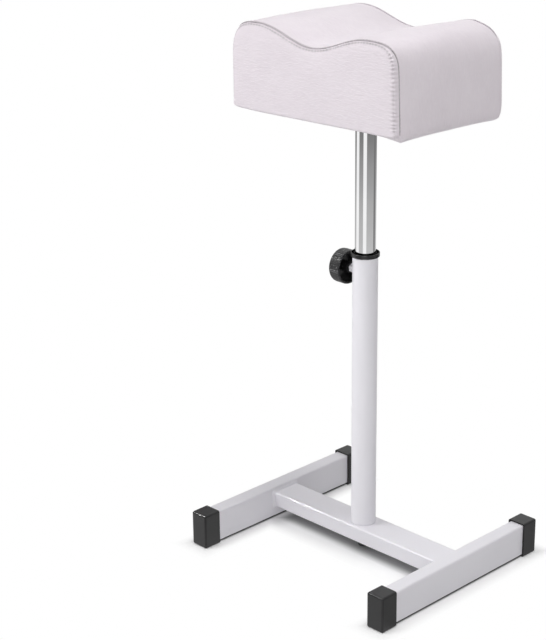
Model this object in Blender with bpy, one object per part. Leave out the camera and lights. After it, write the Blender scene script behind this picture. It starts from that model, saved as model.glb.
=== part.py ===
"""Leg and foot rest on a telescopic post.

An H base of rectangular steel tube carries a round post. A chromed mast slides and swivels in the
post, a ribbed knob clamps it, and a wave-shaped cushion sits on a plate at its top.

Metres, +Z up. The origin is on the floor under the post, X runs along the crossbar and Y along the
two runners.
"""

import math

import bmesh
import bpy
from mathutils import Vector

# Clearances
SEAT_GAP = 0.0003
SLIDE_GAP = 0.0003
THREAD_GAP = 0.0003
SCREW_HOLE_GAP = 0.0004

# Base tubes
TUBE_LONG_SIDE = 0.050
TUBE_SHORT_SIDE = 0.025
TUBE_WALL = 0.0015
RUNNER_LENGTH = 0.345
RUNNER_SPACING = 0.370
CROSSBAR_DROP = 0.007

# Boots on the runner ends
CAP_WALL = 0.0026
CAP_LENGTH = 0.030
CAP_INNER_RADIUS = 0.0006

# Mast and post
MAST_DIAMETER = 0.031
MAST_WALL = 0.0015
MAST_LENGTH = 0.360
MAST_EXPOSED = 0.2075
POST_WALL = 0.0015
POST_LENGTH = 0.430

# Bushes in the post
BUSH_WALL = 0.0014
COLLAR_FLANGE_HEIGHT = 0.006
COLLAR_FLANGE_OVERHANG = 0.0025
COLLAR_EDGE_RADIUS = 0.0015
COLLAR_TO_CLAMP = 0.0015
GUIDE_LENGTH = 0.030
GUIDE_FLOOR = 0.003
GUIDE_LIP = 0.004

# Foot of the post
PLUG_LENGTH = 0.016
BOLT_DIAMETER = 0.010
BOLT_HEAD_RIM = 0.003
BOLT_HEAD_HEIGHT = 0.010
BOLT_SOCKET_FLATS = 0.008
BOLT_SOCKET_DEPTH = 0.005
BOLT_TIP_GAP = 0.002
WASHER_RIM = 0.005
WASHER_THICKNESS = 0.002
SPRING_WASHER_RIM = 0.0035
SPRING_WASHER_THICKNESS = 0.0025
SPRING_WASHER_SPLIT = math.radians(12.0)

# Clamp on the side of the post
CLAMP_DROP = 0.0245
STUD_DIAMETER = 0.008
NUT_WALL = 0.0034
NUT_HEIGHT = 0.009
PAD_LENGTH = 0.0035
PAD_STEM_DIAMETER = 0.0036
PAD_STEM_LENGTH = 0.005

# Knob
KNOB_DIAMETER = 0.051
KNOB_RIM_LENGTH = 0.020
KNOB_RIM_WALL = 0.003
KNOB_EDGE_RADIUS = 0.003
KNOB_CROWN = 0.0015
KNOB_HUB_WALL = 0.0042
KNOB_HUB_PROUD = 0.0016
KNOB_TO_NUT = 0.001
KNOB_BORE_DEPTH = 0.014
KNOB_END_WALL = 0.006
KNOB_RIB_COUNT = 36
KNOB_RIB_DEPTH = 0.0009

# Plate under the cushion
PLATE_SIDE = 0.110
PLATE_THICKNESS = 0.004
PLATE_CORNER_RADIUS = 0.010
SCREW_INSET = 0.015
SCREW_DIAMETER = 0.006
SCREW_HEAD_RIM = 0.003
SCREW_HEAD_HEIGHT = 0.0035
SCREW_HEAD_ROUND = 0.0024
SCREW_TIP_GAP = 0.002
TEE_NUT_WALL = 0.0009
TEE_NUT_FLANGE_RIM = 0.005
TEE_NUT_FLANGE_THICKNESS = 0.0015
TEE_NUT_TIP_GAP = 0.002

# Cushion
HUMP_SPACING = 0.212
VALLEY_DEPTH = 0.024
SHOULDER_WIDTH = 0.0515
SHOULDER_DROP = 0.054
SHOULDER_SQUARENESS = 2.7
SIDE_HEIGHT = 0.064
BOTTOM_RADIUS = 0.008
CUSHION_WIDTH = 0.221
EDGE_ROLL = 0.005
SIDE_CROWN = 0.0045
TOP_CROWN = 0.0025
PANEL_CROWN = 0.002
PANEL_CROWN_INSET = 0.022
COVER_THICKNESS = 0.0012
COVER_FLAP = 0.022
CLOTH_THICKNESS = 0.0008
CLOTH_MARGIN = 0.003
BOARD_THICKNESS = 0.012
BOARD_CORNER_RADIUS = 0.012

# Facet counts
ROUND_STEPS = 48
SMALL_ROUND_STEPS = 16
CORNER_STEPS = 4
EDGE_STEPS = 3
WAVE_STEPS = 11
SHOULDER_STEPS = 9
SIDE_STEPS = 3
CROWN_STEPS = 8
ROLL_STEPS = 3

MERGE_DISTANCE = 1e-6
SMOOTH_ANGLE = math.radians(35.0)

# Heights and radii that follow from the sizes above
tube_corner = 2.0 * TUBE_WALL
runner_bottom = CAP_WALL + SEAT_GAP
runner_top = runner_bottom + TUBE_LONG_SIDE
crossbar_top = runner_top - CROSSBAR_DROP
crossbar_bottom = crossbar_top - TUBE_SHORT_SIDE
mast_radius = MAST_DIAMETER / 2.0
bush_bore = mast_radius + SLIDE_GAP
bush_radius = bush_bore + BUSH_WALL
post_bore = bush_radius + SEAT_GAP
post_radius = post_bore + POST_WALL
post_bottom = crossbar_top + SEAT_GAP
post_top = post_bottom + POST_LENGTH
collar_top = post_top + SEAT_GAP + COLLAR_FLANGE_HEIGHT
mast_top = collar_top + MAST_EXPOSED
mast_bottom = mast_top - MAST_LENGTH
clamp_height = post_top - CLAMP_DROP
stud_radius = STUD_DIAMETER / 2.0
stud_hole = stud_radius + THREAD_GAP
bolt_radius = BOLT_DIAMETER / 2.0
bolt_hole = bolt_radius + THREAD_GAP
screw_radius = SCREW_DIAMETER / 2.0
screw_hole = screw_radius + SCREW_HOLE_GAP

# Stack under the cushion: mast, plate, cloth, board, foam
plate_bottom = mast_top + SEAT_GAP
plate_top = plate_bottom + PLATE_THICKNESS
cloth_bottom = plate_top + SEAT_GAP
board_bottom = cloth_bottom + CLOTH_THICKNESS + SEAT_GAP
board_top = board_bottom + BOARD_THICKNESS
cushion_bottom = board_bottom - SEAT_GAP - COVER_THICKNESS
foam_bottom = board_top + SEAT_GAP - cushion_bottom
half_length = HUMP_SPACING / 2.0 + SHOULDER_WIDTH
hump_height = BOTTOM_RADIUS + SIDE_HEIGHT + SHOULDER_DROP
seam_y = CUSHION_WIDTH / 2.0 - EDGE_ROLL
foam_inset = COVER_THICKNESS + SEAT_GAP

# Clamp stack, measured outwards from the axis of the post
pad_tip = mast_radius + SLIDE_GAP
pad_end = pad_tip + PAD_LENGTH
stud_tip = pad_end + SEAT_GAP
nut_face = post_radius + SEAT_GAP + NUT_HEIGHT
hub_face = nut_face + KNOB_TO_NUT
rim_face = hub_face + KNOB_HUB_PROUD
knob_end = rim_face + KNOB_RIM_LENGTH
stud_end = hub_face + KNOB_BORE_DEPTH - SEAT_GAP


def clear_scene():
    """Remove every object so that the script starts from an empty scene."""
    for thing in list(bpy.data.objects):
        bpy.data.objects.remove(thing, do_unlink=True)


def finish(name, colour, roughness, metallic=0.0):
    """Make a plain surface finish."""
    made = bpy.data.materials.new(name)
    made.use_nodes = True
    shader = made.node_tree.nodes["Principled BSDF"]
    shader.inputs["Base Color"].default_value = (*colour, 1.0)
    shader.inputs["Roughness"].default_value = roughness
    shader.inputs["Metallic"].default_value = metallic
    return made


def frame(name, location, rotation=(0.0, 0.0, 0.0)):
    """Add an empty that a group of pieces hangs from."""
    empty = bpy.data.objects.new(name, None)
    bpy.context.collection.objects.link(empty)
    empty.location = location
    empty.rotation_euler = rotation
    return empty


def piece(name, shape, surface, parent, location=(0.0, 0.0, 0.0), rotation=(0.0, 0.0, 0.0)):
    """Turn a bmesh into a named object under its frame."""
    mesh = bpy.data.meshes.new(name)
    shape.to_mesh(mesh)
    shape.free()
    mesh.shade_smooth()
    mesh.set_sharp_from_angle(angle=SMOOTH_ANGLE)
    mesh.materials.append(surface)
    made = bpy.data.objects.new(name, mesh)
    bpy.context.collection.objects.link(made)
    made.parent = parent
    made.location = location
    made.rotation_euler = rotation
    return made


def cut(target, name, shape, parent, location=(0.0, 0.0, 0.0)):
    """Take a shape away from a piece, with the cutter kept as a hidden guide."""
    mesh = bpy.data.meshes.new(name)
    shape.to_mesh(mesh)
    shape.free()
    cutter = bpy.data.objects.new(name, mesh)
    bpy.context.collection.objects.link(cutter)
    cutter.parent = parent
    cutter.location = location
    cutter.hide_render = True
    cutter.display_type = "WIRE"
    modifier = target.modifiers.new(name, "BOOLEAN")
    modifier.operation = "DIFFERENCE"
    modifier.solver = "EXACT"
    modifier.object = cutter


def thicken(target, wall):
    """Give an outer skin its wall, inwards."""
    modifier = target.modifiers.new("wall", "SOLIDIFY")
    modifier.thickness = wall
    modifier.offset = -1.0
    modifier.use_even_offset = True


def tidied(shape):
    """Merge doubles and turn the faces outwards."""
    bmesh.ops.remove_doubles(shape, verts=shape.verts, dist=MERGE_DISTANCE)
    bmesh.ops.recalc_face_normals(shape, faces=shape.faces)
    return shape


def turned(profile, steps, ring=False, angle=math.tau):
    """Spin a profile of (radius, height) points about Z; a ring's profile closes on itself."""
    shape = bmesh.new()
    points = [shape.verts.new((radius, 0.0, height)) for radius, height in profile]
    lines = [shape.edges.new(pair) for pair in zip(points, points[1:])]
    if ring:
        lines.append(shape.edges.new((points[-1], points[0])))
    bmesh.ops.spin(
        shape, geom=points + lines, cent=(0.0, 0.0, 0.0), axis=(0.0, 0.0, 1.0), angle=angle, steps=steps
    )
    if angle < math.tau:
        bmesh.ops.holes_fill(shape, edges=[line for line in shape.edges if line.is_boundary])
    return tidied(shape)


def ring_profile(inner, outer, bottom, top):
    """Profile of a plain ring, for turning."""
    return [(inner, bottom), (outer, bottom), (outer, top), (inner, top)]


def cylinder(radius, bottom, top, steps):
    """Solid cylinder along Z."""
    return turned([(0.0, bottom), (radius, bottom), (radius, top), (0.0, top)], steps)


def hex_prism(flats, bottom, top):
    """Hexagonal prism along Z with a corner on +X."""
    shape = bmesh.new()
    corner_radius = flats / math.sqrt(3.0)
    made = bmesh.ops.create_circle(shape, cap_ends=True, segments=6, radius=corner_radius)
    bmesh.ops.translate(shape, verts=made["verts"], vec=(0.0, 0.0, bottom))
    raise_faces(shape, top - bottom)
    return tidied(shape)


def raise_faces(shape, height):
    """Extrude every face of a flat shape along Z."""
    made = bmesh.ops.extrude_face_region(shape, geom=list(shape.faces))
    top_points = [item for item in made["geom"] if isinstance(item, bmesh.types.BMVert)]
    bmesh.ops.translate(shape, verts=top_points, vec=(0.0, 0.0, height))


def rounded_rectangle(width, height, radius):
    """Corner-rounded outline about the origin, as (across, up) points, anticlockwise."""
    points = []
    corners = ((1, 1, 0.0), (-1, 1, 90.0), (-1, -1, 180.0), (1, -1, 270.0))
    for side_x, side_y, start in corners:
        centre_x = side_x * (width / 2.0 - radius)
        centre_y = side_y * (height / 2.0 - radius)
        for step in range(CORNER_STEPS + 1):
            angle = math.radians(start + 90.0 * step / CORNER_STEPS)
            points.append((centre_x + radius * math.cos(angle), centre_y + radius * math.sin(angle)))
    return points


def rounded_plate(width, depth, radius, thickness):
    """Flat plate with round corners, its underside on Z = 0."""
    shape = bmesh.new()
    outline = [shape.verts.new((x, y, 0.0)) for x, y in rounded_rectangle(width, depth, radius)]
    shape.faces.new(outline)
    raise_faces(shape, thickness)
    return tidied(shape)


def section_skin(width, height, length):
    """Outer skin of a rectangular tube that runs along Y."""
    shape = bmesh.new()
    outline = rounded_rectangle(width, height, tube_corner)
    points = [shape.verts.new((x, -length / 2.0, z)) for x, z in outline]
    lines = [shape.edges.new((points[i - 1], points[i])) for i in range(len(points))]
    made = bmesh.ops.extrude_edge_only(shape, edges=lines)
    far_points = [item for item in made["geom"] if isinstance(item, bmesh.types.BMVert)]
    bmesh.ops.translate(shape, verts=far_points, vec=(0.0, length, 0.0))
    outwards(shape)
    return shape


def outwards(shape):
    """Turn an open skin's faces away from its middle."""
    bmesh.ops.recalc_face_normals(shape, faces=shape.faces)
    middle = sum((point.co for point in shape.verts), Vector()) / len(shape.verts)
    facing = sum(face.normal.dot(face.calc_center_median() - middle) for face in shape.faces)
    if facing < 0.0:
        bmesh.ops.reverse_faces(shape, faces=shape.faces)


def lofted(rings, closed_rings=True, first_cap=False, last_cap=False):
    """Join rings of points, each as long as the next, with quads; cap the ends where asked."""
    shape = bmesh.new()
    rows = [[shape.verts.new(point) for point in ring] for ring in rings]
    count = len(rows[0])
    spans = count if closed_rings else count - 1
    for near, far in zip(rows, rows[1:]):
        for i in range(spans):
            j = (i + 1) % count
            shape.faces.new((near[i], near[j], far[j], far[i]))
    if first_cap:
        shape.faces.new(rows[0])
    if last_cap:
        shape.faces.new(rows[-1])
    return shape


def make_base(root, paint, plastic, steel):
    """H base: two runners on boots, and a crossbar with the post's bolt hole."""
    runner_middle = runner_bottom + TUBE_LONG_SIDE / 2.0
    for side, name in ((-1, "left"), (1, "right")):
        place = (side * RUNNER_SPACING / 2.0, 0.0, runner_middle)
        skin = section_skin(TUBE_SHORT_SIDE, TUBE_LONG_SIDE, RUNNER_LENGTH)
        thicken(piece(f"{name}_runner", skin, paint, root, place), TUBE_WALL)
        for end, end_name in ((-1, "front"), (1, "rear")):
            make_cap(f"{name}_{end_name}_cap", root, plastic, place, end)

    bar_length = RUNNER_SPACING - TUBE_SHORT_SIDE - 2.0 * SEAT_GAP
    bar_middle = crossbar_top - TUBE_SHORT_SIDE / 2.0
    skin = section_skin(TUBE_LONG_SIDE, TUBE_SHORT_SIDE, bar_length)
    quarter_turn = (0.0, 0.0, math.radians(90.0))
    bar = piece("crossbar", skin, paint, root, (0.0, 0.0, bar_middle), quarter_turn)
    thicken(bar, TUBE_WALL)
    hole = cylinder(bolt_hole, crossbar_bottom - TUBE_WALL, crossbar_top + TUBE_WALL, SMALL_ROUND_STEPS)
    cut(bar, "bolt_hole", hole, root)
    make_base_bolt(root, steel)


def make_cap(name, root, plastic, runner_place, end):
    """Boot over one end of a runner: a bevelled box, open towards the runner."""
    reach = SEAT_GAP + CAP_WALL
    edge_radius = CAP_INNER_RADIUS + CAP_WALL
    size = (TUBE_SHORT_SIDE + 2.0 * reach, CAP_LENGTH, TUBE_LONG_SIDE + 2.0 * reach)
    shape = bmesh.new()
    bmesh.ops.create_cube(shape, size=1.0)
    bmesh.ops.scale(shape, verts=shape.verts, vec=size)
    mouth = min(shape.faces, key=lambda face: end * face.calc_center_median().y)
    mouth_lines = set(mouth.edges)
    bmesh.ops.delete(shape, geom=[mouth], context="FACES_ONLY")
    edges = [edge for edge in shape.edges if edge not in mouth_lines]
    bmesh.ops.bevel(
        shape, geom=edges, offset=edge_radius, segments=EDGE_STEPS, profile=0.5, affect="EDGES"
    )
    outwards(shape)
    along = end * (RUNNER_LENGTH / 2.0 + reach - CAP_LENGTH / 2.0)
    place = (runner_place[0], along, runner_place[2])
    thicken(piece(name, shape, plastic, root, place), CAP_WALL)


def make_base_bolt(root, steel):
    """Socket-head screw up through the crossbar, with its two washers."""
    washer_top = crossbar_bottom - SEAT_GAP
    washer_bottom = washer_top - WASHER_THICKNESS
    profile = ring_profile(bolt_hole, bolt_hole + WASHER_RIM, washer_bottom, washer_top)
    piece("base_washer", turned(profile, SMALL_ROUND_STEPS, ring=True), steel, root)

    spring_top = washer_bottom - SEAT_GAP
    spring_bottom = spring_top - SPRING_WASHER_THICKNESS
    profile = ring_profile(bolt_hole, bolt_hole + SPRING_WASHER_RIM, spring_bottom, spring_top)
    sweep = math.tau - SPRING_WASHER_SPLIT
    piece("spring_washer", turned(profile, SMALL_ROUND_STEPS, ring=True, angle=sweep), steel, root)

    head_top = spring_bottom - SEAT_GAP
    head_bottom = head_top - BOLT_HEAD_HEIGHT
    head_radius = bolt_radius + BOLT_HEAD_RIM
    tip = post_bottom + PLUG_LENGTH - BOLT_TIP_GAP
    profile = [(0.0, head_bottom), (head_radius, head_bottom), (head_radius, head_top)]
    profile += [(bolt_radius, head_top), (bolt_radius, tip), (0.0, tip)]
    bolt = piece("base_bolt", turned(profile, SMALL_ROUND_STEPS), steel, root)
    key = hex_prism(BOLT_SOCKET_FLATS, -BOLT_SOCKET_DEPTH, BOLT_SOCKET_DEPTH)
    cut(bolt, "bolt_socket", key, root, (0.0, 0.0, head_bottom))


def make_post(root, clamp, paint, plastic, steel):
    """Post tube with its foot plug, its collar bush and the clamp's nut."""
    profile = ring_profile(post_bore, post_radius, post_bottom, post_top)
    post = piece("post_tube", turned(profile, ROUND_STEPS, ring=True), paint, root)
    cut(post, "clamp_hole", cylinder(stud_hole, mast_radius, nut_face, SMALL_ROUND_STEPS), clamp)

    profile = ring_profile(bolt_hole, bush_radius, post_bottom, post_bottom + PLUG_LENGTH)
    piece("post_foot_plug", turned(profile, ROUND_STEPS, ring=True), steel, root)

    nut = hex_prism(STUD_DIAMETER + 2.0 * NUT_WALL, post_bore, nut_face)
    nut = piece("clamp_nut", nut, paint, clamp)
    cut(nut, "nut_bore", cylinder(stud_hole, mast_radius, knob_end, SMALL_ROUND_STEPS), clamp)
    saddle = cylinder(post_radius + SEAT_GAP, post_bottom, collar_top, ROUND_STEPS)
    cut(nut, "nut_saddle", saddle, root)
    make_collar(root, plastic)


def make_collar(root, plastic):
    """Flanged bush in the mouth of the post; its sleeve stops above the clamp's hole."""
    flange_bottom = post_top + SEAT_GAP
    flange_radius = post_radius + COLLAR_FLANGE_OVERHANG
    sleeve_bottom = clamp_height + stud_hole + COLLAR_TO_CLAMP
    profile = [(bush_bore, sleeve_bottom), (bush_radius, sleeve_bottom), (bush_radius, flange_bottom)]
    profile += rounded_corner(flange_radius, flange_bottom, -1)
    profile += rounded_corner(flange_radius, collar_top, 1)
    profile += [(bush_bore + COLLAR_EDGE_RADIUS, collar_top), (bush_bore, collar_top - COLLAR_EDGE_RADIUS)]
    piece("collar_bush", turned(profile, ROUND_STEPS, ring=True), plastic, root)


def rounded_corner(radius, height, side):
    """Quarter round at a flange's lower (side -1) or upper (side 1) edge, from below upwards."""
    points = []
    for step in range(EDGE_STEPS + 1):
        angle = math.radians(90.0 * step / EDGE_STEPS)
        if side < 0:
            angle -= math.radians(90.0)
        across = radius - COLLAR_EDGE_RADIUS * (1.0 - math.cos(angle))
        points.append((across, height - side * COLLAR_EDGE_RADIUS + COLLAR_EDGE_RADIUS * math.sin(angle)))
    return points


def make_guide(slide, plastic):
    """Plastic guide round the mast's lower end, with a lip under the tube."""
    tube_end = mast_bottom - SEAT_GAP
    floor = tube_end - GUIDE_FLOOR
    lip = mast_radius - GUIDE_LIP
    top = floor + GUIDE_LENGTH
    profile = [(lip, floor), (bush_radius, floor), (bush_radius, top), (bush_bore, top)]
    profile += [(bush_bore, tube_end), (lip, tube_end)]
    lowered = [(radius, height - collar_top) for radius, height in profile]
    piece("guide_bush", turned(lowered, ROUND_STEPS, ring=True), plastic, slide)


def make_mast(mast, chrome, steel):
    """Chromed tube and the plate on its top, in the mast's own frame at the collar."""
    profile = ring_profile(mast_radius - MAST_WALL, mast_radius, mast_bottom, mast_top)
    lowered = [(radius, height - collar_top) for radius, height in profile]
    piece("inner_tube", turned(lowered, ROUND_STEPS, ring=True), chrome, mast)

    shape = rounded_plate(PLATE_SIDE, PLATE_SIDE, PLATE_CORNER_RADIUS, PLATE_THICKNESS)
    plate = piece("mount_plate", shape, steel, mast, (0.0, 0.0, plate_bottom - collar_top))
    for number, place in enumerate(screw_places(), start=1):
        hole = cylinder(screw_hole, -PLATE_THICKNESS, 2.0 * PLATE_THICKNESS, SMALL_ROUND_STEPS)
        cut(plate, f"plate_hole_{number}", hole, mast, (*place, plate_bottom - collar_top))


def screw_places():
    """Places of the four plate screws, in plan."""
    reach = PLATE_SIDE / 2.0 - SCREW_INSET
    return [(reach, reach), (-reach, reach), (-reach, -reach), (reach, -reach)]


def make_plate_screws(mast, steel):
    """Pan-head screws from below and the tee nuts that hold them in the board."""
    head_top = plate_bottom - SEAT_GAP - collar_top
    tip = board_top - SCREW_TIP_GAP - collar_top
    head_radius = screw_radius + SCREW_HEAD_RIM
    head_side = head_top - SCREW_HEAD_HEIGHT / 2.0
    head_crown = head_top - SCREW_HEAD_HEIGHT
    screw = [(0.0, head_crown), (head_radius - SCREW_HEAD_ROUND, head_crown), (head_radius, head_side)]
    screw += [(head_radius, head_top), (screw_radius, head_top), (screw_radius, tip), (0.0, tip)]

    flange_top = board_top - SEAT_GAP - collar_top
    flange_bottom = flange_top - TEE_NUT_FLANGE_THICKNESS
    barrel_bottom = board_bottom + TEE_NUT_TIP_GAP - collar_top
    bore = screw_radius + THREAD_GAP
    barrel = bore + TEE_NUT_WALL
    flange = barrel + TEE_NUT_FLANGE_RIM
    nut = [(bore, barrel_bottom), (barrel, barrel_bottom), (barrel, flange_bottom)]
    nut += [(flange, flange_bottom), (flange, flange_top), (bore, flange_top)]
    for number, (x, y) in enumerate(screw_places(), start=1):
        place = (x, y, 0.0)
        piece(f"plate_screw_{number}", turned(screw, SMALL_ROUND_STEPS), steel, mast, place)
        piece(f"tee_nut_{number}", turned(nut, SMALL_ROUND_STEPS, ring=True), steel, mast, place)


def make_board(mast, wood):
    """Plywood board with a stepped hole for each tee nut."""
    length = 2.0 * (half_length - BOTTOM_RADIUS)
    width = 2.0 * (seam_y - SEAT_GAP)
    shape = rounded_plate(length, width, BOARD_CORNER_RADIUS, BOARD_THICKNESS)
    board = piece("seat_board", shape, wood, mast, (0.0, 0.0, board_bottom - collar_top))
    barrel_hole = screw_radius + THREAD_GAP + TEE_NUT_WALL + SEAT_GAP
    step_hole = barrel_hole + TEE_NUT_FLANGE_RIM
    step = board_top - 2.0 * SEAT_GAP - TEE_NUT_FLANGE_THICKNESS
    profile = [(0.0, board_bottom - BOARD_THICKNESS), (barrel_hole, board_bottom - BOARD_THICKNESS)]
    profile += [(barrel_hole, step), (step_hole, step)]
    profile += [(step_hole, board_top + BOARD_THICKNESS), (0.0, board_top + BOARD_THICKNESS)]
    lowered = [(radius, height - collar_top) for radius, height in profile]
    for number, (x, y) in enumerate(screw_places(), start=1):
        cut(board, f"tee_nut_hole_{number}", turned(lowered, SMALL_ROUND_STEPS), mast, (x, y, 0.0))


def make_bottom_cloth(mast, cloth):
    """Cloth under the board, between the cover's flaps."""
    length = 2.0 * (half_length - BOTTOM_RADIUS - COVER_FLAP - CLOTH_MARGIN)
    width = 2.0 * (seam_y - COVER_FLAP - CLOTH_MARGIN)
    shape = rounded_plate(length, width, BOARD_CORNER_RADIUS, CLOTH_THICKNESS)
    sheet = piece("bottom_cloth", shape, cloth, mast, (0.0, 0.0, cloth_bottom - collar_top))
    for number, place in enumerate(screw_places(), start=1):
        hole = cylinder(screw_hole, -PLATE_THICKNESS, PLATE_THICKNESS, SMALL_ROUND_STEPS)
        cut(sheet, f"cloth_hole_{number}", hole, mast, (*place, cloth_bottom - collar_top))


def half_outline():
    """Right half of the cover's outline at the seam, from the valley down to the underside."""
    crest = HUMP_SPACING / 2.0
    middle = hump_height - VALLEY_DEPTH / 2.0
    points = []
    for step in range(WAVE_STEPS):
        x = crest * step / WAVE_STEPS
        points.append((x, middle - VALLEY_DEPTH / 2.0 * math.cos(math.pi * x / crest)))
    power = 2.0 / SHOULDER_SQUARENESS
    shoulder_bottom = hump_height - SHOULDER_DROP
    for step in range(SHOULDER_STEPS):
        angle = math.radians(90.0 * step / SHOULDER_STEPS)
        x = crest + SHOULDER_WIDTH * math.sin(angle) ** power
        points.append((x, shoulder_bottom + SHOULDER_DROP * math.cos(angle) ** power))
    for step in range(SIDE_STEPS):
        points.append((half_length, shoulder_bottom - SIDE_HEIGHT * step / SIDE_STEPS))
    for step in range(CORNER_STEPS + 1):
        angle = math.radians(90.0 * step / CORNER_STEPS)
        x = half_length - BOTTOM_RADIUS * (1.0 - math.cos(angle))
        points.append((x, BOTTOM_RADIUS * (1.0 - math.sin(angle))))
    return points


def clipped(points, lowest):
    """End a falling outline where it reaches a height."""
    kept = [point for point in points if point[1] > lowest]
    above = kept[-1]
    below = points[len(kept)]
    share = (above[1] - lowest) / (above[1] - below[1])
    kept.append((above[0] + share * (below[0] - above[0]), lowest))
    return kept


def mirrored(right_half):
    """Whole outline, from the left end over the wave to the right end."""
    left_half = [(-x, z) for x, z in reversed(right_half[1:])]
    return left_half + right_half


def normals(points):
    """Outward direction at each point of a left-to-right outline."""
    found = []
    last = len(points) - 1
    for i in range(len(points)):
        before = Vector(points[max(i - 1, 0)])
        after = Vector(points[min(i + 1, last)])
        along = (after - before).normalized()
        found.append(Vector((-along.y, along.x)))
    return found


def swelled(points, inset, y):
    """Outline at one place across the cushion: drawn in by inset, swelled between the seams."""
    fullness = max(0.0, 1.0 - (y / seam_y) ** 2)
    ring = []
    for point, out in zip(points, normals(points)):
        rise = min(1.0, max(0.0, (point[1] - BOTTOM_RADIUS) / SIDE_HEIGHT))
        crown = SIDE_CROWN * abs(out.x) + TOP_CROWN * abs(out.y)
        swell = crown * fullness * math.sin(math.radians(90.0) * rise)
        x, z = Vector(point) + out * (swell - inset)
        ring.append(Vector((x, y, z)))
    return ring


def crown_stations(reach):
    """Places across the cushion, from one seam to the other."""
    return [reach * (2.0 * step / CROWN_STEPS - 1.0) for step in range(CROWN_STEPS + 1)]


def roll_stations(radius):
    """Inset and outward reach along the rolled edge between a seam and its panel."""
    angles = [math.radians(90.0 * step / ROLL_STEPS) for step in range(ROLL_STEPS + 1)]
    return [(radius * (1.0 - math.cos(angle)), radius * math.sin(angle)) for angle in angles]


def make_foam(mast, foam):
    """Foam block: the wave outline drawn in under the cover, swelled between the seams."""
    whole = mirrored(clipped(half_outline(), foam_bottom))
    rolled = [
        (foam_inset + inset, seam_y + reach)
        for inset, reach in reversed(roll_stations(EDGE_ROLL - foam_inset)[1:])
    ]
    rings = [swelled(whole, inset, -y) for inset, y in rolled]
    rings += [swelled(whole, foam_inset, y) for y in crown_stations(seam_y)]
    rings += [swelled(whole, inset, y) for inset, y in reversed(rolled)]
    for ring in rings:
        ring[0].z = foam_bottom
        ring[-1].z = foam_bottom
    shape = lofted(rings, first_cap=True, last_cap=True)
    piece("foam_block", tidied(shape), foam, mast, (0.0, 0.0, cushion_bottom - collar_top))


def make_cover_strip(mast, leather):
    """Cover over the two ends and the wave, folded under the board along both ends."""
    whole = mirrored(half_outline())
    end_x = half_length - BOTTOM_RADIUS - COVER_FLAP
    reach = seam_y - SEAT_GAP / 2.0
    mitre = (reach - COVER_FLAP - CLOTH_MARGIN) / reach
    rings = []
    for y in crown_stations(reach):
        left_hem = Vector((-end_x, y * mitre, 0.0))
        right_hem = Vector((end_x, y * mitre, 0.0))
        rings.append([left_hem] + swelled(whole, 0.0, y) + [right_hem])
    shape = lofted(rings, closed_rings=False)
    outwards(shape)
    strip = piece("cover_strip", shape, leather, mast, (0.0, 0.0, cushion_bottom - collar_top))
    thicken(strip, COVER_THICKNESS)


def make_panel(name, side, mast, leather):
    """Side panel with its rolled edge, its slight crown and the flap under the board."""
    whole = mirrored(half_outline())
    start = seam_y + SEAT_GAP / 2.0
    rings = []
    for inset, reach in roll_stations(EDGE_ROLL - SEAT_GAP / 2.0):
        y = side * (start + reach)
        rings.append([Vector((point.x, y, point.z)) for point in swelled(whole, inset, start)])
    shape = lofted(rings, last_cap=True)
    face = max(shape.faces, key=lambda item: len(item.verts))
    bmesh.ops.inset_region(
        shape, faces=[face], thickness=PANEL_CROWN_INSET, depth=0.0, use_even_offset=False
    )
    bmesh.ops.translate(shape, verts=face.verts, vec=(0.0, side * PANEL_CROWN, 0.0))
    flap_reach = half_length - BOTTOM_RADIUS - COVER_FLAP - CLOTH_MARGIN
    fold_under(shape, -side * COVER_FLAP, flap_reach)
    outwards(shape)
    panel = piece(name, shape, leather, mast, (0.0, 0.0, cushion_bottom - collar_top))
    thicken(panel, COVER_THICKNESS)


def fold_under(shape, depth, reach):
    """Draw the middle of a panel's lower edge under the board."""
    rim = [edge for edge in shape.edges if edge.is_boundary]
    hem = [edge for edge in rim if max(point.co.z for point in edge.verts) < SEAT_GAP]
    made = bmesh.ops.extrude_edge_only(shape, edges=hem)
    drawn = [item for item in made["geom"] if isinstance(item, bmesh.types.BMVert)]
    for point in drawn:
        point.co.y += depth
        point.co.x = max(-reach, min(reach, point.co.x))


def make_clamp(pad_frame, knob_frame, plastic, nylon, steel):
    """Knob and stud on the clamp's axis, and the nylon pad in the stud's tip."""
    stem = PAD_STEM_DIAMETER / 2.0
    stem_hole = stem + SEAT_GAP
    stem_end = pad_end + PAD_STEM_LENGTH
    profile = [(0.0, pad_tip), (stud_radius, pad_tip), (stud_radius, pad_end), (stem, pad_end)]
    profile += [(stem, stem_end), (0.0, stem_end)]
    piece("clamp_pad", turned(profile, SMALL_ROUND_STEPS), nylon, pad_frame)

    profile = [(stem_hole, stud_tip), (stud_radius, stud_tip), (stud_radius, stud_end), (0.0, stud_end)]
    profile += [(0.0, stem_end + SEAT_GAP), (stem_hole, stem_end + SEAT_GAP)]
    piece("knob_stud", turned(profile, SMALL_ROUND_STEPS, ring=True), steel, knob_frame)
    piece("knob", knob_shape(), plastic, knob_frame)


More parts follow.
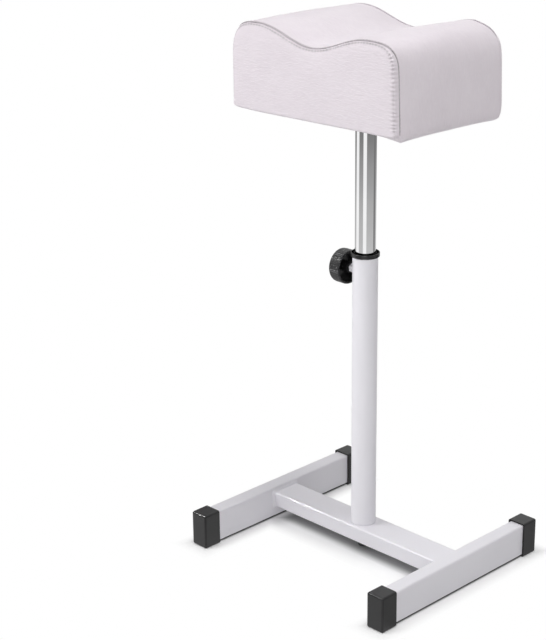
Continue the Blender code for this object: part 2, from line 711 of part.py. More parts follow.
def knob_shape():
    """Ribbed knob, hollow behind, with a hub bored for the stud."""
    bore_end = hub_face + KNOB_BORE_DEPTH
    hub = stud_hole + KNOB_HUB_WALL
    rim = KNOB_DIAMETER / 2.0
    cavity = rim - KNOB_RIM_WALL
    floor = knob_end - KNOB_END_WALL
    edge = KNOB_EDGE_RADIUS
    stations = [(stud_hole, bore_end, 0.0), (stud_hole, hub_face, 0.0), (hub, hub_face, 0.0)]
    stations += [(hub, floor, 0.0), (cavity, floor, 0.0), (cavity, rim_face, 0.0)]
    stations.append((rim - KNOB_RIB_DEPTH, rim_face, 0.0))
    stations += [(rim, rim_face + KNOB_RIB_DEPTH, KNOB_RIB_DEPTH), (rim, knob_end - edge, KNOB_RIB_DEPTH)]
    for step in range(1, EDGE_STEPS + 1):
        angle = math.radians(90.0 * step / EDGE_STEPS)
        radius = rim - edge * (1.0 - math.cos(angle))
        height = knob_end - edge * (1.0 - math.sin(angle))
        stations.append((radius, height, KNOB_RIB_DEPTH * math.cos(angle)))
    stations.append(((rim - edge) / 2.0, knob_end + KNOB_CROWN, 0.0))
    rings = [ribbed_ring(radius, height, depth) for radius, height, depth in stations]
    return tidied(lofted(rings, first_cap=True, last_cap=True))


def ribbed_ring(radius, height, depth):
    """Circle about the clamp's axis whose every other point is cut in by depth."""
    count = 2 * KNOB_RIB_COUNT
    ring = []
    for i in range(count):
        reach = radius - depth * (i % 2)
        angle = math.tau * i / count
        ring.append(Vector((reach * math.cos(angle), reach * math.sin(angle), height)))
    return ring


def build():
    """Make every piece."""
    clear_scene()
    paint = finish("white_paint", (0.80, 0.80, 0.82), 0.35)
    chrome = finish("chrome", (0.86, 0.86, 0.87), 0.06, 1.0)
    plastic = finish("black_plastic", (0.022, 0.022, 0.024), 0.45)
    steel = finish("black_steel", (0.05, 0.05, 0.052), 0.4, 1.0)
    zinc = finish("zinc_steel", (0.62, 0.62, 0.63), 0.35, 1.0)
    nylon = finish("nylon", (0.75, 0.74, 0.70), 0.5)
    leather = finish("white_leatherette", (0.84, 0.79, 0.83), 0.5)
    foam = finish("foam", (0.85, 0.80, 0.62), 0.9)
    wood = finish("plywood", (0.62, 0.46, 0.30), 0.7)
    cloth = finish("black_cloth", (0.03, 0.03, 0.03), 0.9)

    root = frame("base_frame", (0.0, 0.0, 0.0))
    slide = frame("slide_frame", (0.0, 0.0, collar_top))
    mast = frame("mast_frame", (0.0, 0.0, collar_top))
    outward = (0.0, math.radians(-90.0), 0.0)
    clamp = frame("clamp_frame", (0.0, 0.0, clamp_height), outward)
    knob_frame = frame("knob_frame", (0.0, 0.0, clamp_height), outward)

    make_base(root, paint, plastic, steel)
    make_post(root, clamp, paint, plastic, zinc)
    make_guide(slide, nylon)
    make_mast(mast, chrome, paint)
    make_plate_screws(mast, zinc)
    make_board(mast, wood)
    make_bottom_cloth(mast, cloth)
    make_foam(mast, foam)
    make_cover_strip(mast, leather)
    make_panel("front_panel", -1, mast, leather)
    make_panel("rear_panel", 1, mast, leather)
    make_clamp(clamp, knob_frame, plastic, nylon, zinc)


build()
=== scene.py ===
"""Looks of the leg and foot rest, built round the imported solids.

An H base of rectangular tube stands on black boots and carries a painted post. A chromed mast slides in
the post, a ribbed knob clamps it, and a sewn leatherette cushion sits on a plate at its top.
Metres, +Z up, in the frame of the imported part: X along the crossbar, Y along the runners.
"""

import logging
import math
from collections.abc import Callable, Iterator
from contextlib import contextmanager
from dataclasses import dataclass
from enum import Enum

import bmesh
import bpy
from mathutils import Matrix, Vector, kdtree, noise


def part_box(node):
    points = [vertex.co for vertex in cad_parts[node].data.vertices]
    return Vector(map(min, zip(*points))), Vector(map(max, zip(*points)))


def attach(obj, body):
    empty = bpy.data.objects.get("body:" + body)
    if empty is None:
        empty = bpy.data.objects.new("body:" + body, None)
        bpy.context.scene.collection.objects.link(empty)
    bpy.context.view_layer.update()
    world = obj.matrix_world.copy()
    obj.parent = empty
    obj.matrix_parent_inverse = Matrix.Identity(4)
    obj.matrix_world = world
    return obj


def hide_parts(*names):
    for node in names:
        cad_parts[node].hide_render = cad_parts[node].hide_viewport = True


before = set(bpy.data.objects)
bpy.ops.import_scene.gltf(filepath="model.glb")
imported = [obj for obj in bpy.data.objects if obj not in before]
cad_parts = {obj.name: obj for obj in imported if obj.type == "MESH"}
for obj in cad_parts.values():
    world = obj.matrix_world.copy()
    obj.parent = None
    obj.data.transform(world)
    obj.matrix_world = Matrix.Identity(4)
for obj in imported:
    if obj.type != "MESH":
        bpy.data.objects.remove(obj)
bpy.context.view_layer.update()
log = logging.getLogger("leg_rest")

FINE_ROUND = 128
SMALL_ROUND = 48
HEXAGON = 6
CREASE_ANGLE = math.radians(32.0)
NEAR = 1e-5
ALIGNED = 0.99
FACING = 0.9
LEAST_LENGTH = 1e-9
OVERCUT = 0.002
TUBE_ANGLE = 60.0
HEAD_ANGLE = 50.0
SCREWS = range(1, 5)
CLOTH = {
    "quality": 5, "mass": 0.3, "use_pressure": True, "vertex_group_mass": "held", "bending_stiffness": 0.6,
    "tension_stiffness": 15.0, "compression_stiffness": 15.0, "shear_stiffness": 8.0,
}
EVEN = (1.0, 1.0, 1.0)

Piece = bpy.types.Object
Socket = bpy.types.NodeSocket
Face = bmesh.types.BMFace
Edge = bmesh.types.BMEdge
Pair = tuple[float, float]
Triple = tuple[float, float, float]
FaceTest = Callable[[Face], bool]
EdgeTest = Callable[[Edge], bool]


class Body(Enum):
    """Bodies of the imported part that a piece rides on."""

    BASE = "base"
    MAST = "mast"
    KNOB = "knob"


class Axis(Enum):
    """Direction that a tube or drum runs in."""

    X = 0
    Y = 1
    Z = 2


@dataclass(frozen=True)
class Box:
    """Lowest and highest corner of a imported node."""

    low: Vector
    high: Vector

    @classmethod
    def of(cls, node: str) -> "Box":
        """Read a node's box from its imported mesh."""
        low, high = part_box(node)
        return cls(low, high)

    @property
    def size(self) -> Vector:
        """Lengths along the three axes."""
        return self.high - self.low

    @property
    def middle(self) -> Vector:
        """Centre of the box."""
        return (self.low + self.high) / 2.0


# Modelling helpers


def activate(thing: Piece) -> None:
    """Make one object the only selected and the active one.

    Args:
        thing: the object.
    """
    bpy.ops.object.select_all(action="DESELECT")
    thing.select_set(True)
    bpy.context.view_layer.objects.active = thing


@contextmanager
def editing(thing: Piece) -> Iterator[None]:
    """Work on one mesh in edit mode with nothing selected at first.

    Args:
        thing: object with the mesh.
    """
    activate(thing)
    bpy.ops.object.mode_set(mode="EDIT")
    bpy.ops.mesh.select_all(action="DESELECT")
    try:
        yield
    finally:
        bpy.ops.object.mode_set(mode="OBJECT")


def pick(thing: Piece, kind: str, test: Callable[[Face | Edge], bool]) -> None:
    """Select the faces or edges that pass a test, in edit mode.

    Args:
        thing: object in edit mode.
        kind: FACE or EDGE.
        test: says whether a face or edge is wanted.
    """
    bpy.ops.mesh.select_mode(type=kind)
    bpy.ops.mesh.select_all(action="DESELECT")
    shape = bmesh.from_edit_mesh(thing.data)
    shape.normal_update()
    for item in shape.faces if kind == "FACE" else shape.edges:
        if test(item):
            item.select_set(True)
    bmesh.update_edit_mesh(thing.data)


def pick_faces(thing: Piece, test: FaceTest) -> None:
    """Select the faces that pass a test, by their place or normal, in edit mode."""
    pick(thing, "FACE", test)


def pick_edges(thing: Piece, test: EdgeTest) -> None:
    """Select the edges that pass a test, in edit mode."""
    pick(thing, "EDGE", test)


def edge_runs(edge: Edge, axis: Axis) -> bool:
    """Say whether an edge lies along an axis."""
    along = (edge.verts[1].co - edge.verts[0].co).normalized()
    return abs(along[axis.value]) > ALIGNED


def edge_at(edge: Edge, axis: Axis, place: float) -> bool:
    """Say whether both ends of an edge lie in a plane across an axis."""
    return all(abs(point.co[axis.value] - place) < NEAR for point in edge.verts)


def bevel_edges(thing: Piece, test: EdgeTest, radius: float, steps: int = 6, profile: float = 0.5) -> None:
    """Round the edges that pass a test, in edit mode, with a profile of 0.5 for a circle."""
    pick_edges(thing, test)
    bpy.ops.mesh.bevel(offset=radius, segments=steps, profile=profile, affect="EDGES")


def open_faces(thing: Piece, test: FaceTest) -> None:
    """Take away the faces that pass a test, in edit mode."""
    pick_faces(thing, test)
    bpy.ops.mesh.delete(type="ONLY_FACE")


def draw_out(inset: float, travel: float) -> None:
    """Inset the selected faces and draw the inset out along Z, in edit mode."""
    bpy.ops.mesh.inset(thickness=inset)
    bpy.ops.mesh.extrude_region_move(TRANSFORM_OT_translate={"value": (0.0, 0.0, travel)})


def face_out(thing: Piece) -> None:
    """Turn all faces of a closed piece outwards.

    Args:
        thing: the piece.
    """
    with editing(thing):
        bpy.ops.mesh.select_all(action="SELECT")
        bpy.ops.mesh.normals_make_consistent(inside=False)


def clamped(value: float) -> float:
    """Hold a number between 0 and 1."""
    return min(1.0, max(0.0, value))


def between(first: float, second: float, share: float) -> float:
    """Go from one number towards another by a share."""
    return first + (second - first) * share


def bell(away: float, width: float) -> float:
    """Fade from 1 on a line to 0 on both sides of it."""
    return math.exp(-((away / width) ** 2))


def use_modifier(thing: Piece, kind: str, **settings: object) -> None:
    """Add a modifier, set it and apply it.

    Args:
        thing: object to change.
        kind: modifier type.
        settings: values of the modifier's properties.
    """
    modifier = thing.modifiers.new(kind.lower(), kind)
    for key, value in settings.items():
        setattr(modifier, key, value)
    activate(thing)
    bpy.ops.object.modifier_apply(modifier=modifier.name)


def round_edges(thing: Piece, radius: float, steps: int = 3, angle: float = 40.0) -> None:
    """Round the sharp edges of a piece.

    Args:
        thing: the piece.
        radius: radius of the round.
        steps: number of flats across it.
        angle: least turn of a sharp edge, in degrees.
    """
    use_modifier(
        thing, "BEVEL", width=radius, segments=steps, limit_method="ANGLE", angle_limit=math.radians(angle)
    )


def give_wall(thing: Piece, thickness: float) -> None:
    """Give an open shell a wall of even thickness, inwards."""
    use_modifier(thing, "SOLIDIFY", thickness=thickness, offset=-1.0, use_even_offset=True)


def settled(thing: Piece, name: str) -> Piece:
    """Name an object and put its place, turn and scale into its mesh.

    Args:
        thing: the object.
        name: its name.

    Returns:
        The same object.
    """
    thing.name = name
    thing.data.name = name
    activate(thing)
    bpy.ops.object.transform_apply(location=True, rotation=True, scale=True)
    return thing


def add_block(name: str, low: Vector, high: Vector) -> Piece:
    """Add a block between two corners.

    Args:
        name: name of the new object.
        low: its lowest corner.
        high: its highest corner.

    Returns:
        The new object.
    """
    bpy.ops.object.select_all(action="DESELECT")
    bpy.ops.mesh.primitive_cube_add(size=1.0, location=(low + high) / 2.0)
    block = bpy.context.object
    block.scale = high - low
    return settled(block, name)


def add_drum(
    name: str, radius: float, low: float, high: float, sides: int, axis: Axis = Axis.Z,
    centre: Triple = (0.0, 0.0, 0.0), filled: bool = True,
) -> Piece:
    """Add a cylinder along an axis.

    Args:
        name: name of the new object.
        radius: radius of the drum.
        low: where it starts along the axis, from the centre.
        high: where it ends along the axis, from the centre.
        sides: number of flats round it.
        axis: direction that it runs in.
        centre: a point on its axis.
        filled: whether its ends are closed.

    Returns:
        The new object.
    """
    bpy.ops.object.select_all(action="DESELECT")
    middle = Vector(centre)
    middle[axis.value] += (low + high) / 2.0
    quarter = math.radians(90.0)
    turns = {Axis.X: (0.0, quarter, 0.0), Axis.Y: (quarter, 0.0, 0.0), Axis.Z: (0.0, 0.0, 0.0)}
    bpy.ops.mesh.primitive_cylinder_add(
        vertices=sides, radius=radius, depth=high - low, location=middle, rotation=turns[axis],
        end_fill_type="NGON" if filled else "NOTHING",
    )
    return settled(bpy.context.object, name)


def add_ring(
    name: str, bore: float, radius: float, low: float, high: float, sides: int, edge: float
) -> Piece:
    """Add a ring or tube along Z with rounded rims.

    Args:
        name: name of the new object.
        bore: inner radius.
        radius: outer radius.
        low: height of its lower rim.
        high: height of its upper rim.
        sides: number of flats round it.
        edge: radius of the rims' edges.

    Returns:
        The new object.
    """
    ring = add_drum(name, radius, low, high, sides, filled=False)
    give_wall(ring, radius - bore)
    round_edges(ring, edge)
    return ring


def cut_away(thing: Piece, cutter: Piece) -> None:
    """Take a cutter's shape out of a piece and remove the cutter."""
    use_modifier(thing, "BOOLEAN", operation="DIFFERENCE", solver="EXACT", object=cutter)
    bpy.data.objects.remove(cutter, do_unlink=True)


def bore_from_left(thing: Piece, radius: float, reach: float, axis_point: Triple) -> None:
    """Bore a hole along X, from a reach at the left in to the middle."""
    cut_away(thing, add_drum("bore", radius, -reach, 0.0, SMALL_ROUND, Axis.X, axis_point))


def cut_socket(screw: Piece, flats: float, low: float, depth: float, centre: Triple) -> None:
    """Sink a hexagon socket, as wide as its flats, into the underside of a screw's head."""
    corner = flats / 2.0 / math.cos(math.pi / HEXAGON)
    cut_away(screw, add_drum("key", corner, low - OVERCUT, low + depth, HEXAGON, centre=centre))


def drill(thing: Piece, node: str, radius: float, box: Box) -> None:
    """Drill a hole up through a piece on the axis of each of four numbered nodes.

    Args:
        thing: the piece.
        node: name of the nodes, without their number.
        radius: radius of the holes.
        box: box of the piece.
    """
    low, high = box.low.z - OVERCUT, box.high.z + OVERCUT
    for number in SCREWS:
        place = Box.of(f"{node}_{number}").middle
        cut_away(thing, add_drum("hole", radius, low, high, SMALL_ROUND, centre=(place.x, place.y, 0.0)))


def copy_of(thing: Piece, name: str, offset: Vector, turn: float = 0.0) -> Piece:
    """Copy a finished piece, with a mesh of its own, to another place.

    Args:
        thing: the piece to copy.
        name: name of the copy.
        offset: move to its place.
        turn: turn about Z before the move, in radians.

    Returns:
        The copy.
    """
    activate(thing)
    bpy.ops.object.duplicate(linked=False)
    twin = bpy.context.object
    twin.location = offset
    twin.rotation_euler.z = turn
    return settled(twin, name)


def joined_copies(first: Piece, name: str, spots: list[tuple[Vector, float]]) -> Piece:
    """Copy a piece to each spot and join the copies into one piece, without the first.

    Args:
        first: the piece to copy, which is removed.
        name: name of the joined piece.
        spots: place of each copy and its turn about Z.

    Returns:
        The joined piece.
    """
    made = [copy_of(first, f"{name}_{number}", *spot) for number, spot in enumerate(spots)]
    bpy.data.objects.remove(first, do_unlink=True)
    activate(made[0])
    for twin in made:
        twin.select_set(True)
    bpy.ops.object.join()
    return settled(bpy.context.object, name)


def dress(thing: Piece, surface: bpy.types.Material, slot: str, body: Body, *nodes: str) -> None:
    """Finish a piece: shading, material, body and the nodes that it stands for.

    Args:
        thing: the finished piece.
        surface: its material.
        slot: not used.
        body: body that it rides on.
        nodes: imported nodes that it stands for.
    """
    activate(thing)
    bpy.ops.object.shade_smooth_by_angle(angle=CREASE_ANGLE)
    use_modifier(thing, "WEIGHTED_NORMAL", mode="FACE_AREA", weight=100, keep_sharp=True)
    thing.data.materials.clear()
    thing.data.materials.append(surface)
    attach(thing, body.value)
    if nodes:
        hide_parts(*nodes)
    log.info("%s rides on %s with %d faces", thing.name, body.value, len(thing.data.polygons))


# Finishes


class Graph:
    """Adds and joins the nodes of one tree."""

    def __init__(self, tree: bpy.types.NodeTree) -> None:
        """Keep the tree that nodes go into."""
        self.tree = tree

    def feed(self, node: bpy.types.Node, inputs: dict) -> None:
        """Give a node's inputs their values or sources.

        Args:
            node: the node.
            inputs: a value or a source socket for each input, by name or number.
        """
        for key, value in inputs.items():
            if isinstance(value, Socket):
                self.tree.links.new(value, node.inputs[key])
            else:
                node.inputs[key].default_value = value

    def add(self, kind: str, inputs: dict | None = None, **settings: object) -> bpy.types.Node:
        """Add a node.

        Args:
            kind: node type without its ShaderNode prefix.
            inputs: a value or a source socket for each input, by name or number.
            settings: values of the node's properties.

        Returns:
            The new node.
        """
        node = self.tree.nodes.new("ShaderNode" + kind)
        for key, value in settings.items():
            setattr(node, key, value)
        self.feed(node, inputs or {})
        return node

    def place(self) -> Socket:
        """Place on the piece, in its own coordinates."""
        return self.add("TexCoord").outputs["Object"]

    def noise(self, tree: bpy.types.NodeTree, scale: float, stretch: Triple = EVEN) -> Socket:
        """Place a shared noise group, with a small stretch along an axis where the lumps are long."""
        values = {"Vector": self.place(), "Stretch": stretch, "Scale": scale}
        return self.add("Group", values, node_tree=tree).outputs[0]

    def math(self, operation: str, *values: object) -> Socket:
        """Work out a number from sockets or numbers."""
        return self.add("Math", dict(enumerate(values)), operation=operation).outputs[0]

    def blend(self, share: object, first: object, second: object) -> Socket:
        """Mix two numbers, each a socket or a plain one."""
        # The node keeps numbers at its inputs 2 and 3, and colours at 6 and 7.
        return self.add("Mix", {0: share, 2: first, 3: second}).outputs[0]

    def mix(self, share: object, first: object, second: Triple) -> Socket:
        """Mix two colours given as (red, green, blue), the first of which may be a socket."""
        start = first if isinstance(first, Socket) else (*first, 1.0)
        return self.add("Mix", {0: share, 6: start, 7: (*second, 1.0)}, data_type="RGBA").outputs[2]

    def span(
        self, value: Socket, start: float = 0.0, end: float = 1.0, low: float = 0.0,
        high: float = 1.0, smooth: bool = False,
    ) -> Socket:
        """Map a value from one stretch of numbers to another.

        Args:
            value: socket with the value.
            start: value that becomes low.
            end: value that becomes high.
            low: result at the start.
            high: result at the end.
            smooth: whether the result eases in and out.

        Returns:
            Socket with the result, which stays at low and high outside the stretch.
        """
        stretch = {"Value": value, "From Min": start, "From Max": end, "To Min": low, "To Max": high}
        kind = "SMOOTHSTEP" if smooth else "LINEAR"
        return self.add("MapRange", stretch, interpolation_type=kind).outputs["Result"]

    def bump(self, height: Socket, strength: float, depth: float) -> Socket:
        """Turn a height into a normal."""
        return self.add("Bump", {"Height": height, "Strength": strength, "Distance": depth}).outputs["Normal"]


def start_material(name: str) -> tuple[bpy.types.Material, Graph, bpy.types.Node]:
    """Start a material.

    Args:
        name: name of the material.

    Returns:
        The material, its graph and its shader.
    """
    made = bpy.data.materials.new(name)
    made.use_nodes = True
    return made, Graph(made.node_tree), made.node_tree.nodes["Principled BSDF"]


class SharedEffects:
    """Node groups that several finishes use."""

    tone_reach = (0.2, 0.8)

    def __init__(self) -> None:
        """Build the soft uneven tone, the fine pebbled skin and the fine drawn lines."""
        self.mottle = self.noise_group("uneven_tone", "Mask", 2.0)
        self.skin = self.noise_group("fine_skin", "Height", 2.0)
        self.lines = self.noise_group("drawn_lines", "Height", 3.0)

    def noise_group(self, name: str, output: str, detail: float) -> bpy.types.NodeTree:
        """Make a group of noise that can be drawn out along an axis.

        Args:
            name: name of the group.
            output: Height for the plain noise, or Mask for one spread from 0 to 1.
            detail: detail of the noise.

        Returns:
            The group.
        """
        tree = bpy.data.node_groups.new(name, "ShaderNodeTree")
        for label, kind in (("Vector", "Vector"), ("Stretch", "Vector"), ("Scale", "Float")):
            tree.interface.new_socket(label, in_out="INPUT", socket_type="NodeSocket" + kind)
        tree.interface.new_socket(output, in_out="OUTPUT", socket_type="NodeSocketFloat")
        graph = Graph(tree)
        given = tree.nodes.new("NodeGroupInput").outputs
        sides = {0: given["Vector"], 1: given["Stretch"]}
        drawn = graph.add("VectorMath", sides, operation="MULTIPLY").outputs[0]
        lumps = {"Vector": drawn, "Scale": given["Scale"], "Detail": detail}
        value = graph.add("TexNoise", lumps).outputs["Fac"]
        if output == "Mask":
            value = graph.span(value, *self.tone_reach, smooth=True)
        graph.feed(tree.nodes.new("NodeGroupOutput"), {output: value})
        return tree


@dataclass(frozen=True)
class Finish:
    """A surface with an uneven tone, a varying roughness and a fine relief."""

    name: str
    dark: Triple
    light: Triple
    roughness: Pair
    tone_scale: float
    relief_scale: float
    relief_depth: float
    relief_strength: float
    metallic: float = 0.0
    lines: Triple | None = None
    specular: float = 0.5

    def material(self, shared: SharedEffects) -> bpy.types.Material:
        """Build the material.

        Args:
            shared: node groups that finishes have in common.

        Returns:
            The new material.
        """
        made, graph, shader = start_material(self.name)
        tone = graph.noise(shared.mottle, self.tone_scale)
        if self.lines:
            relief = graph.noise(shared.lines, self.relief_scale, self.lines)
        else:
            relief = graph.noise(shared.skin, self.relief_scale)
        graph.feed(shader, {
            "Base Color": graph.mix(tone, self.dark, self.light),
            "Roughness": graph.span(tone, 0.0, 1.0, *self.roughness),
            "Normal": graph.bump(relief, self.relief_strength, self.relief_depth),
            "Metallic": self.metallic,
            "Specular IOR Level": self.specular,
        })
        return made


@dataclass(frozen=True)
class Leatherette:
    """Coated cloth with a fine pebble grain that runs along its length."""

    name: str = "white_leatherette_cover"
    # Hollow and crest colours: the grain's hollows are painted darker as shade, mixed with a random tone.
    hollow: Triple = (0.755, 0.69, 0.74)
    crest: Triple = (0.86, 0.80, 0.845)
    # Dark colour of the seam line: the joint itself and the painted shade in its groove and fold.
    sewn: Triple = (0.11, 0.09, 0.10)
    roughness: Pair = (0.55, 0.42)
    stretch: Triple = (0.25, 1.0, 1.0)
    crease_scale: float = 215.0
    crease_detail: float = 3.0
    crease_roughness: float = 0.55
    crease_bend: float = 0.9
    pebble_scale: float = 560.0
    pebble_softness: float = 0.35
    pebble_edge: float = 0.9
    pebble_share: float = 0.30
    relief_depth: float = 0.0009
    relief_strength: float = 1.0
    tone_scale: float = 16.0
    tone_share: float = 0.35
    specular: float = 0.45
    sheen: float = 0.08

    def material(self, shared: SharedEffects) -> bpy.types.Material:
        """Build the material on the piece's own UV map, which is in metres.

        Args:
            shared: node groups that finishes have in common.

        Returns:
            The new material.
        """
        made, graph, shader = start_material(self.name)
        laid = graph.add("UVMap", uv_map="cut").outputs["UV"]
        drawn = graph.add("Mapping", {"Vector": laid, "Scale": self.stretch}).outputs["Vector"]
        creased = {
            "Vector": drawn, "Scale": self.crease_scale, "Detail": self.crease_detail,
            "Roughness": self.crease_roughness, "Distortion": self.crease_bend,
        }
        creases = graph.add("TexNoise", creased).outputs["Fac"]
        cells = {"Vector": drawn, "Scale": self.pebble_scale, "Smoothness": self.pebble_softness}
        pebbles = graph.add("TexVoronoi", cells, feature="SMOOTH_F1").outputs["Distance"]
        raised = graph.span(pebbles, 0.0, self.pebble_edge, 1.0, 0.0)
        height = graph.blend(self.pebble_share, creases, raised)
        grain_shade_and_tone = graph.blend(self.tone_share, height, graph.noise(shared.mottle, self.tone_scale))
        # Attribute with the seams' dark joint together with the painted shade in their groove and fold.
        seam = graph.add("Attribute", attribute_name="seam_joint_and_painted_shade").outputs["Fac"]
        graph.feed(shader, {
            # Base colour darker in the grain's hollows as painted shade, varied at random in tone, and
            # darkened along the seams.
            "Base Color": graph.mix(seam, graph.mix(grain_shade_and_tone, self.hollow, self.crest), self.sewn),
            "Roughness": graph.span(grain_shade_and_tone, 0.0, 1.0, *self.roughness),
            "Normal": graph.bump(height, self.relief_strength, self.relief_depth),
            "Specular IOR Level": self.specular,
            "Sheen Weight": self.sheen,
        })
        return made


@dataclass(frozen=True)
class FibreCloth:
    """Black cloth of pressed fibres."""

    name: str = "black_fibre_cloth"
    dark: Triple = (0.016, 0.016, 0.017)
    light: Triple = (0.050, 0.050, 0.052)
    roughness: Pair = (0.95, 0.8)
    fibre_scale: float = 900.0
    fibre_stretch: float = 0.08
    relief_depth: float = 0.0004
    relief_strength: float = 0.6

    def material(self, shared: SharedEffects) -> bpy.types.Material:
        """Build the material from two crossing sets of fibres.

        Args:
            shared: node groups that finishes have in common.

        Returns:
            The new material.
        """
        made, graph, shader = start_material(self.name)
        long = self.fibre_stretch
        ways = ((long, 1.0, 1.0), (1.0, long, 1.0))
        sets = [graph.noise(shared.lines, self.fibre_scale, way) for way in ways]
        fibres = graph.math("MAXIMUM", *sets)
        graph.feed(shader, {
            "Base Color": graph.mix(fibres, self.dark, self.light),
            "Roughness": graph.span(fibres, 0.0, 1.0, *self.roughness),
            "Normal": graph.bump(fibres, self.relief_strength, self.relief_depth),
        })
        return made


class Palette:
    """Every finish of the rest, built once."""

    def __init__(self) -> None:
        """Build the materials."""
        shared = SharedEffects()
        # The base takes a darker copy of the same white paint as the post, a painted shade for the lesser
        # light on the base.
        self.base_paint_shaded_copy = Finish(
            "white_powder_coat_painted_shade", (0.80, 0.785, 0.828), (0.823, 0.808, 0.85), (0.29, 0.33), 9.0,
            1100.0, 0.00004, 0.12,
        ).material(shared)
        self.paint = Finish(
            "white_powder_coat", (0.87, 0.855, 0.90), (0.895, 0.88, 0.925), (0.29, 0.33), 9.0,
            1100.0, 0.00003, 0.08,
        ).material(shared)
        self.chrome = Finish(
            "bright_chrome", (0.85, 0.85, 0.86), (0.90, 0.90, 0.905), (0.035, 0.07), 22.0,
            520.0, 0.00002, 0.05, metallic=1.0, lines=(1.0, 1.0, 0.015),
        ).material(shared)
        self.plastic = Finish(
            "black_moulded_plastic", (0.007, 0.007, 0.0075), (0.013, 0.0125, 0.0135), (0.30, 0.38), 40.0,
            1500.0, 0.00003, 0.12, specular=0.40,
        ).material(shared)
        self.gloss_plastic = Finish(
            "black_polished_plastic", (0.006, 0.006, 0.0065), (0.011, 0.0105, 0.0115), (0.19, 0.25), 40.0,
            1500.0, 0.00002, 0.05,
        ).material(shared)
        # Paler plastic for the knob's ridges: a painted highlight for the glint along the lands.
        self.glint_plastic = Finish(
            "plastic_painted_glint", (0.15, 0.15, 0.155), (0.20, 0.20, 0.205), (0.19, 0.25), 40.0,
            1500.0, 0.00002, 0.05,
        ).material(shared)
        self.black_steel = Finish(
            "black_oxide_steel", (0.030, 0.030, 0.032), (0.060, 0.060, 0.064), (0.34, 0.48), 180.0,
            1400.0, 0.00003, 0.25, metallic=1.0,
        ).material(shared)
        self.zinc = Finish(
            "zinc_plated_steel", (0.54, 0.54, 0.53), (0.68, 0.69, 0.71), (0.29, 0.42), 150.0,
            900.0, 0.00003, 0.2, metallic=1.0, lines=(1.0, 1.0, 0.1),
        ).material(shared)
        self.nylon = Finish(
            "natural_nylon", (0.70, 0.69, 0.64), (0.78, 0.77, 0.73), (0.42, 0.55), 70.0,
            1000.0, 0.00004, 0.2,
        ).material(shared)
        self.plywood = Finish(
            "birch_plywood", (0.46, 0.33, 0.20), (0.66, 0.50, 0.33), (0.60, 0.75), 30.0,
            260.0, 0.0002, 0.4, lines=(0.06, 1.0, 1.0),
        ).material(shared)
        self.leatherette = Leatherette().material(shared)
        self.fibre_cloth = FibreCloth().material(shared)


# Sub-assemblies


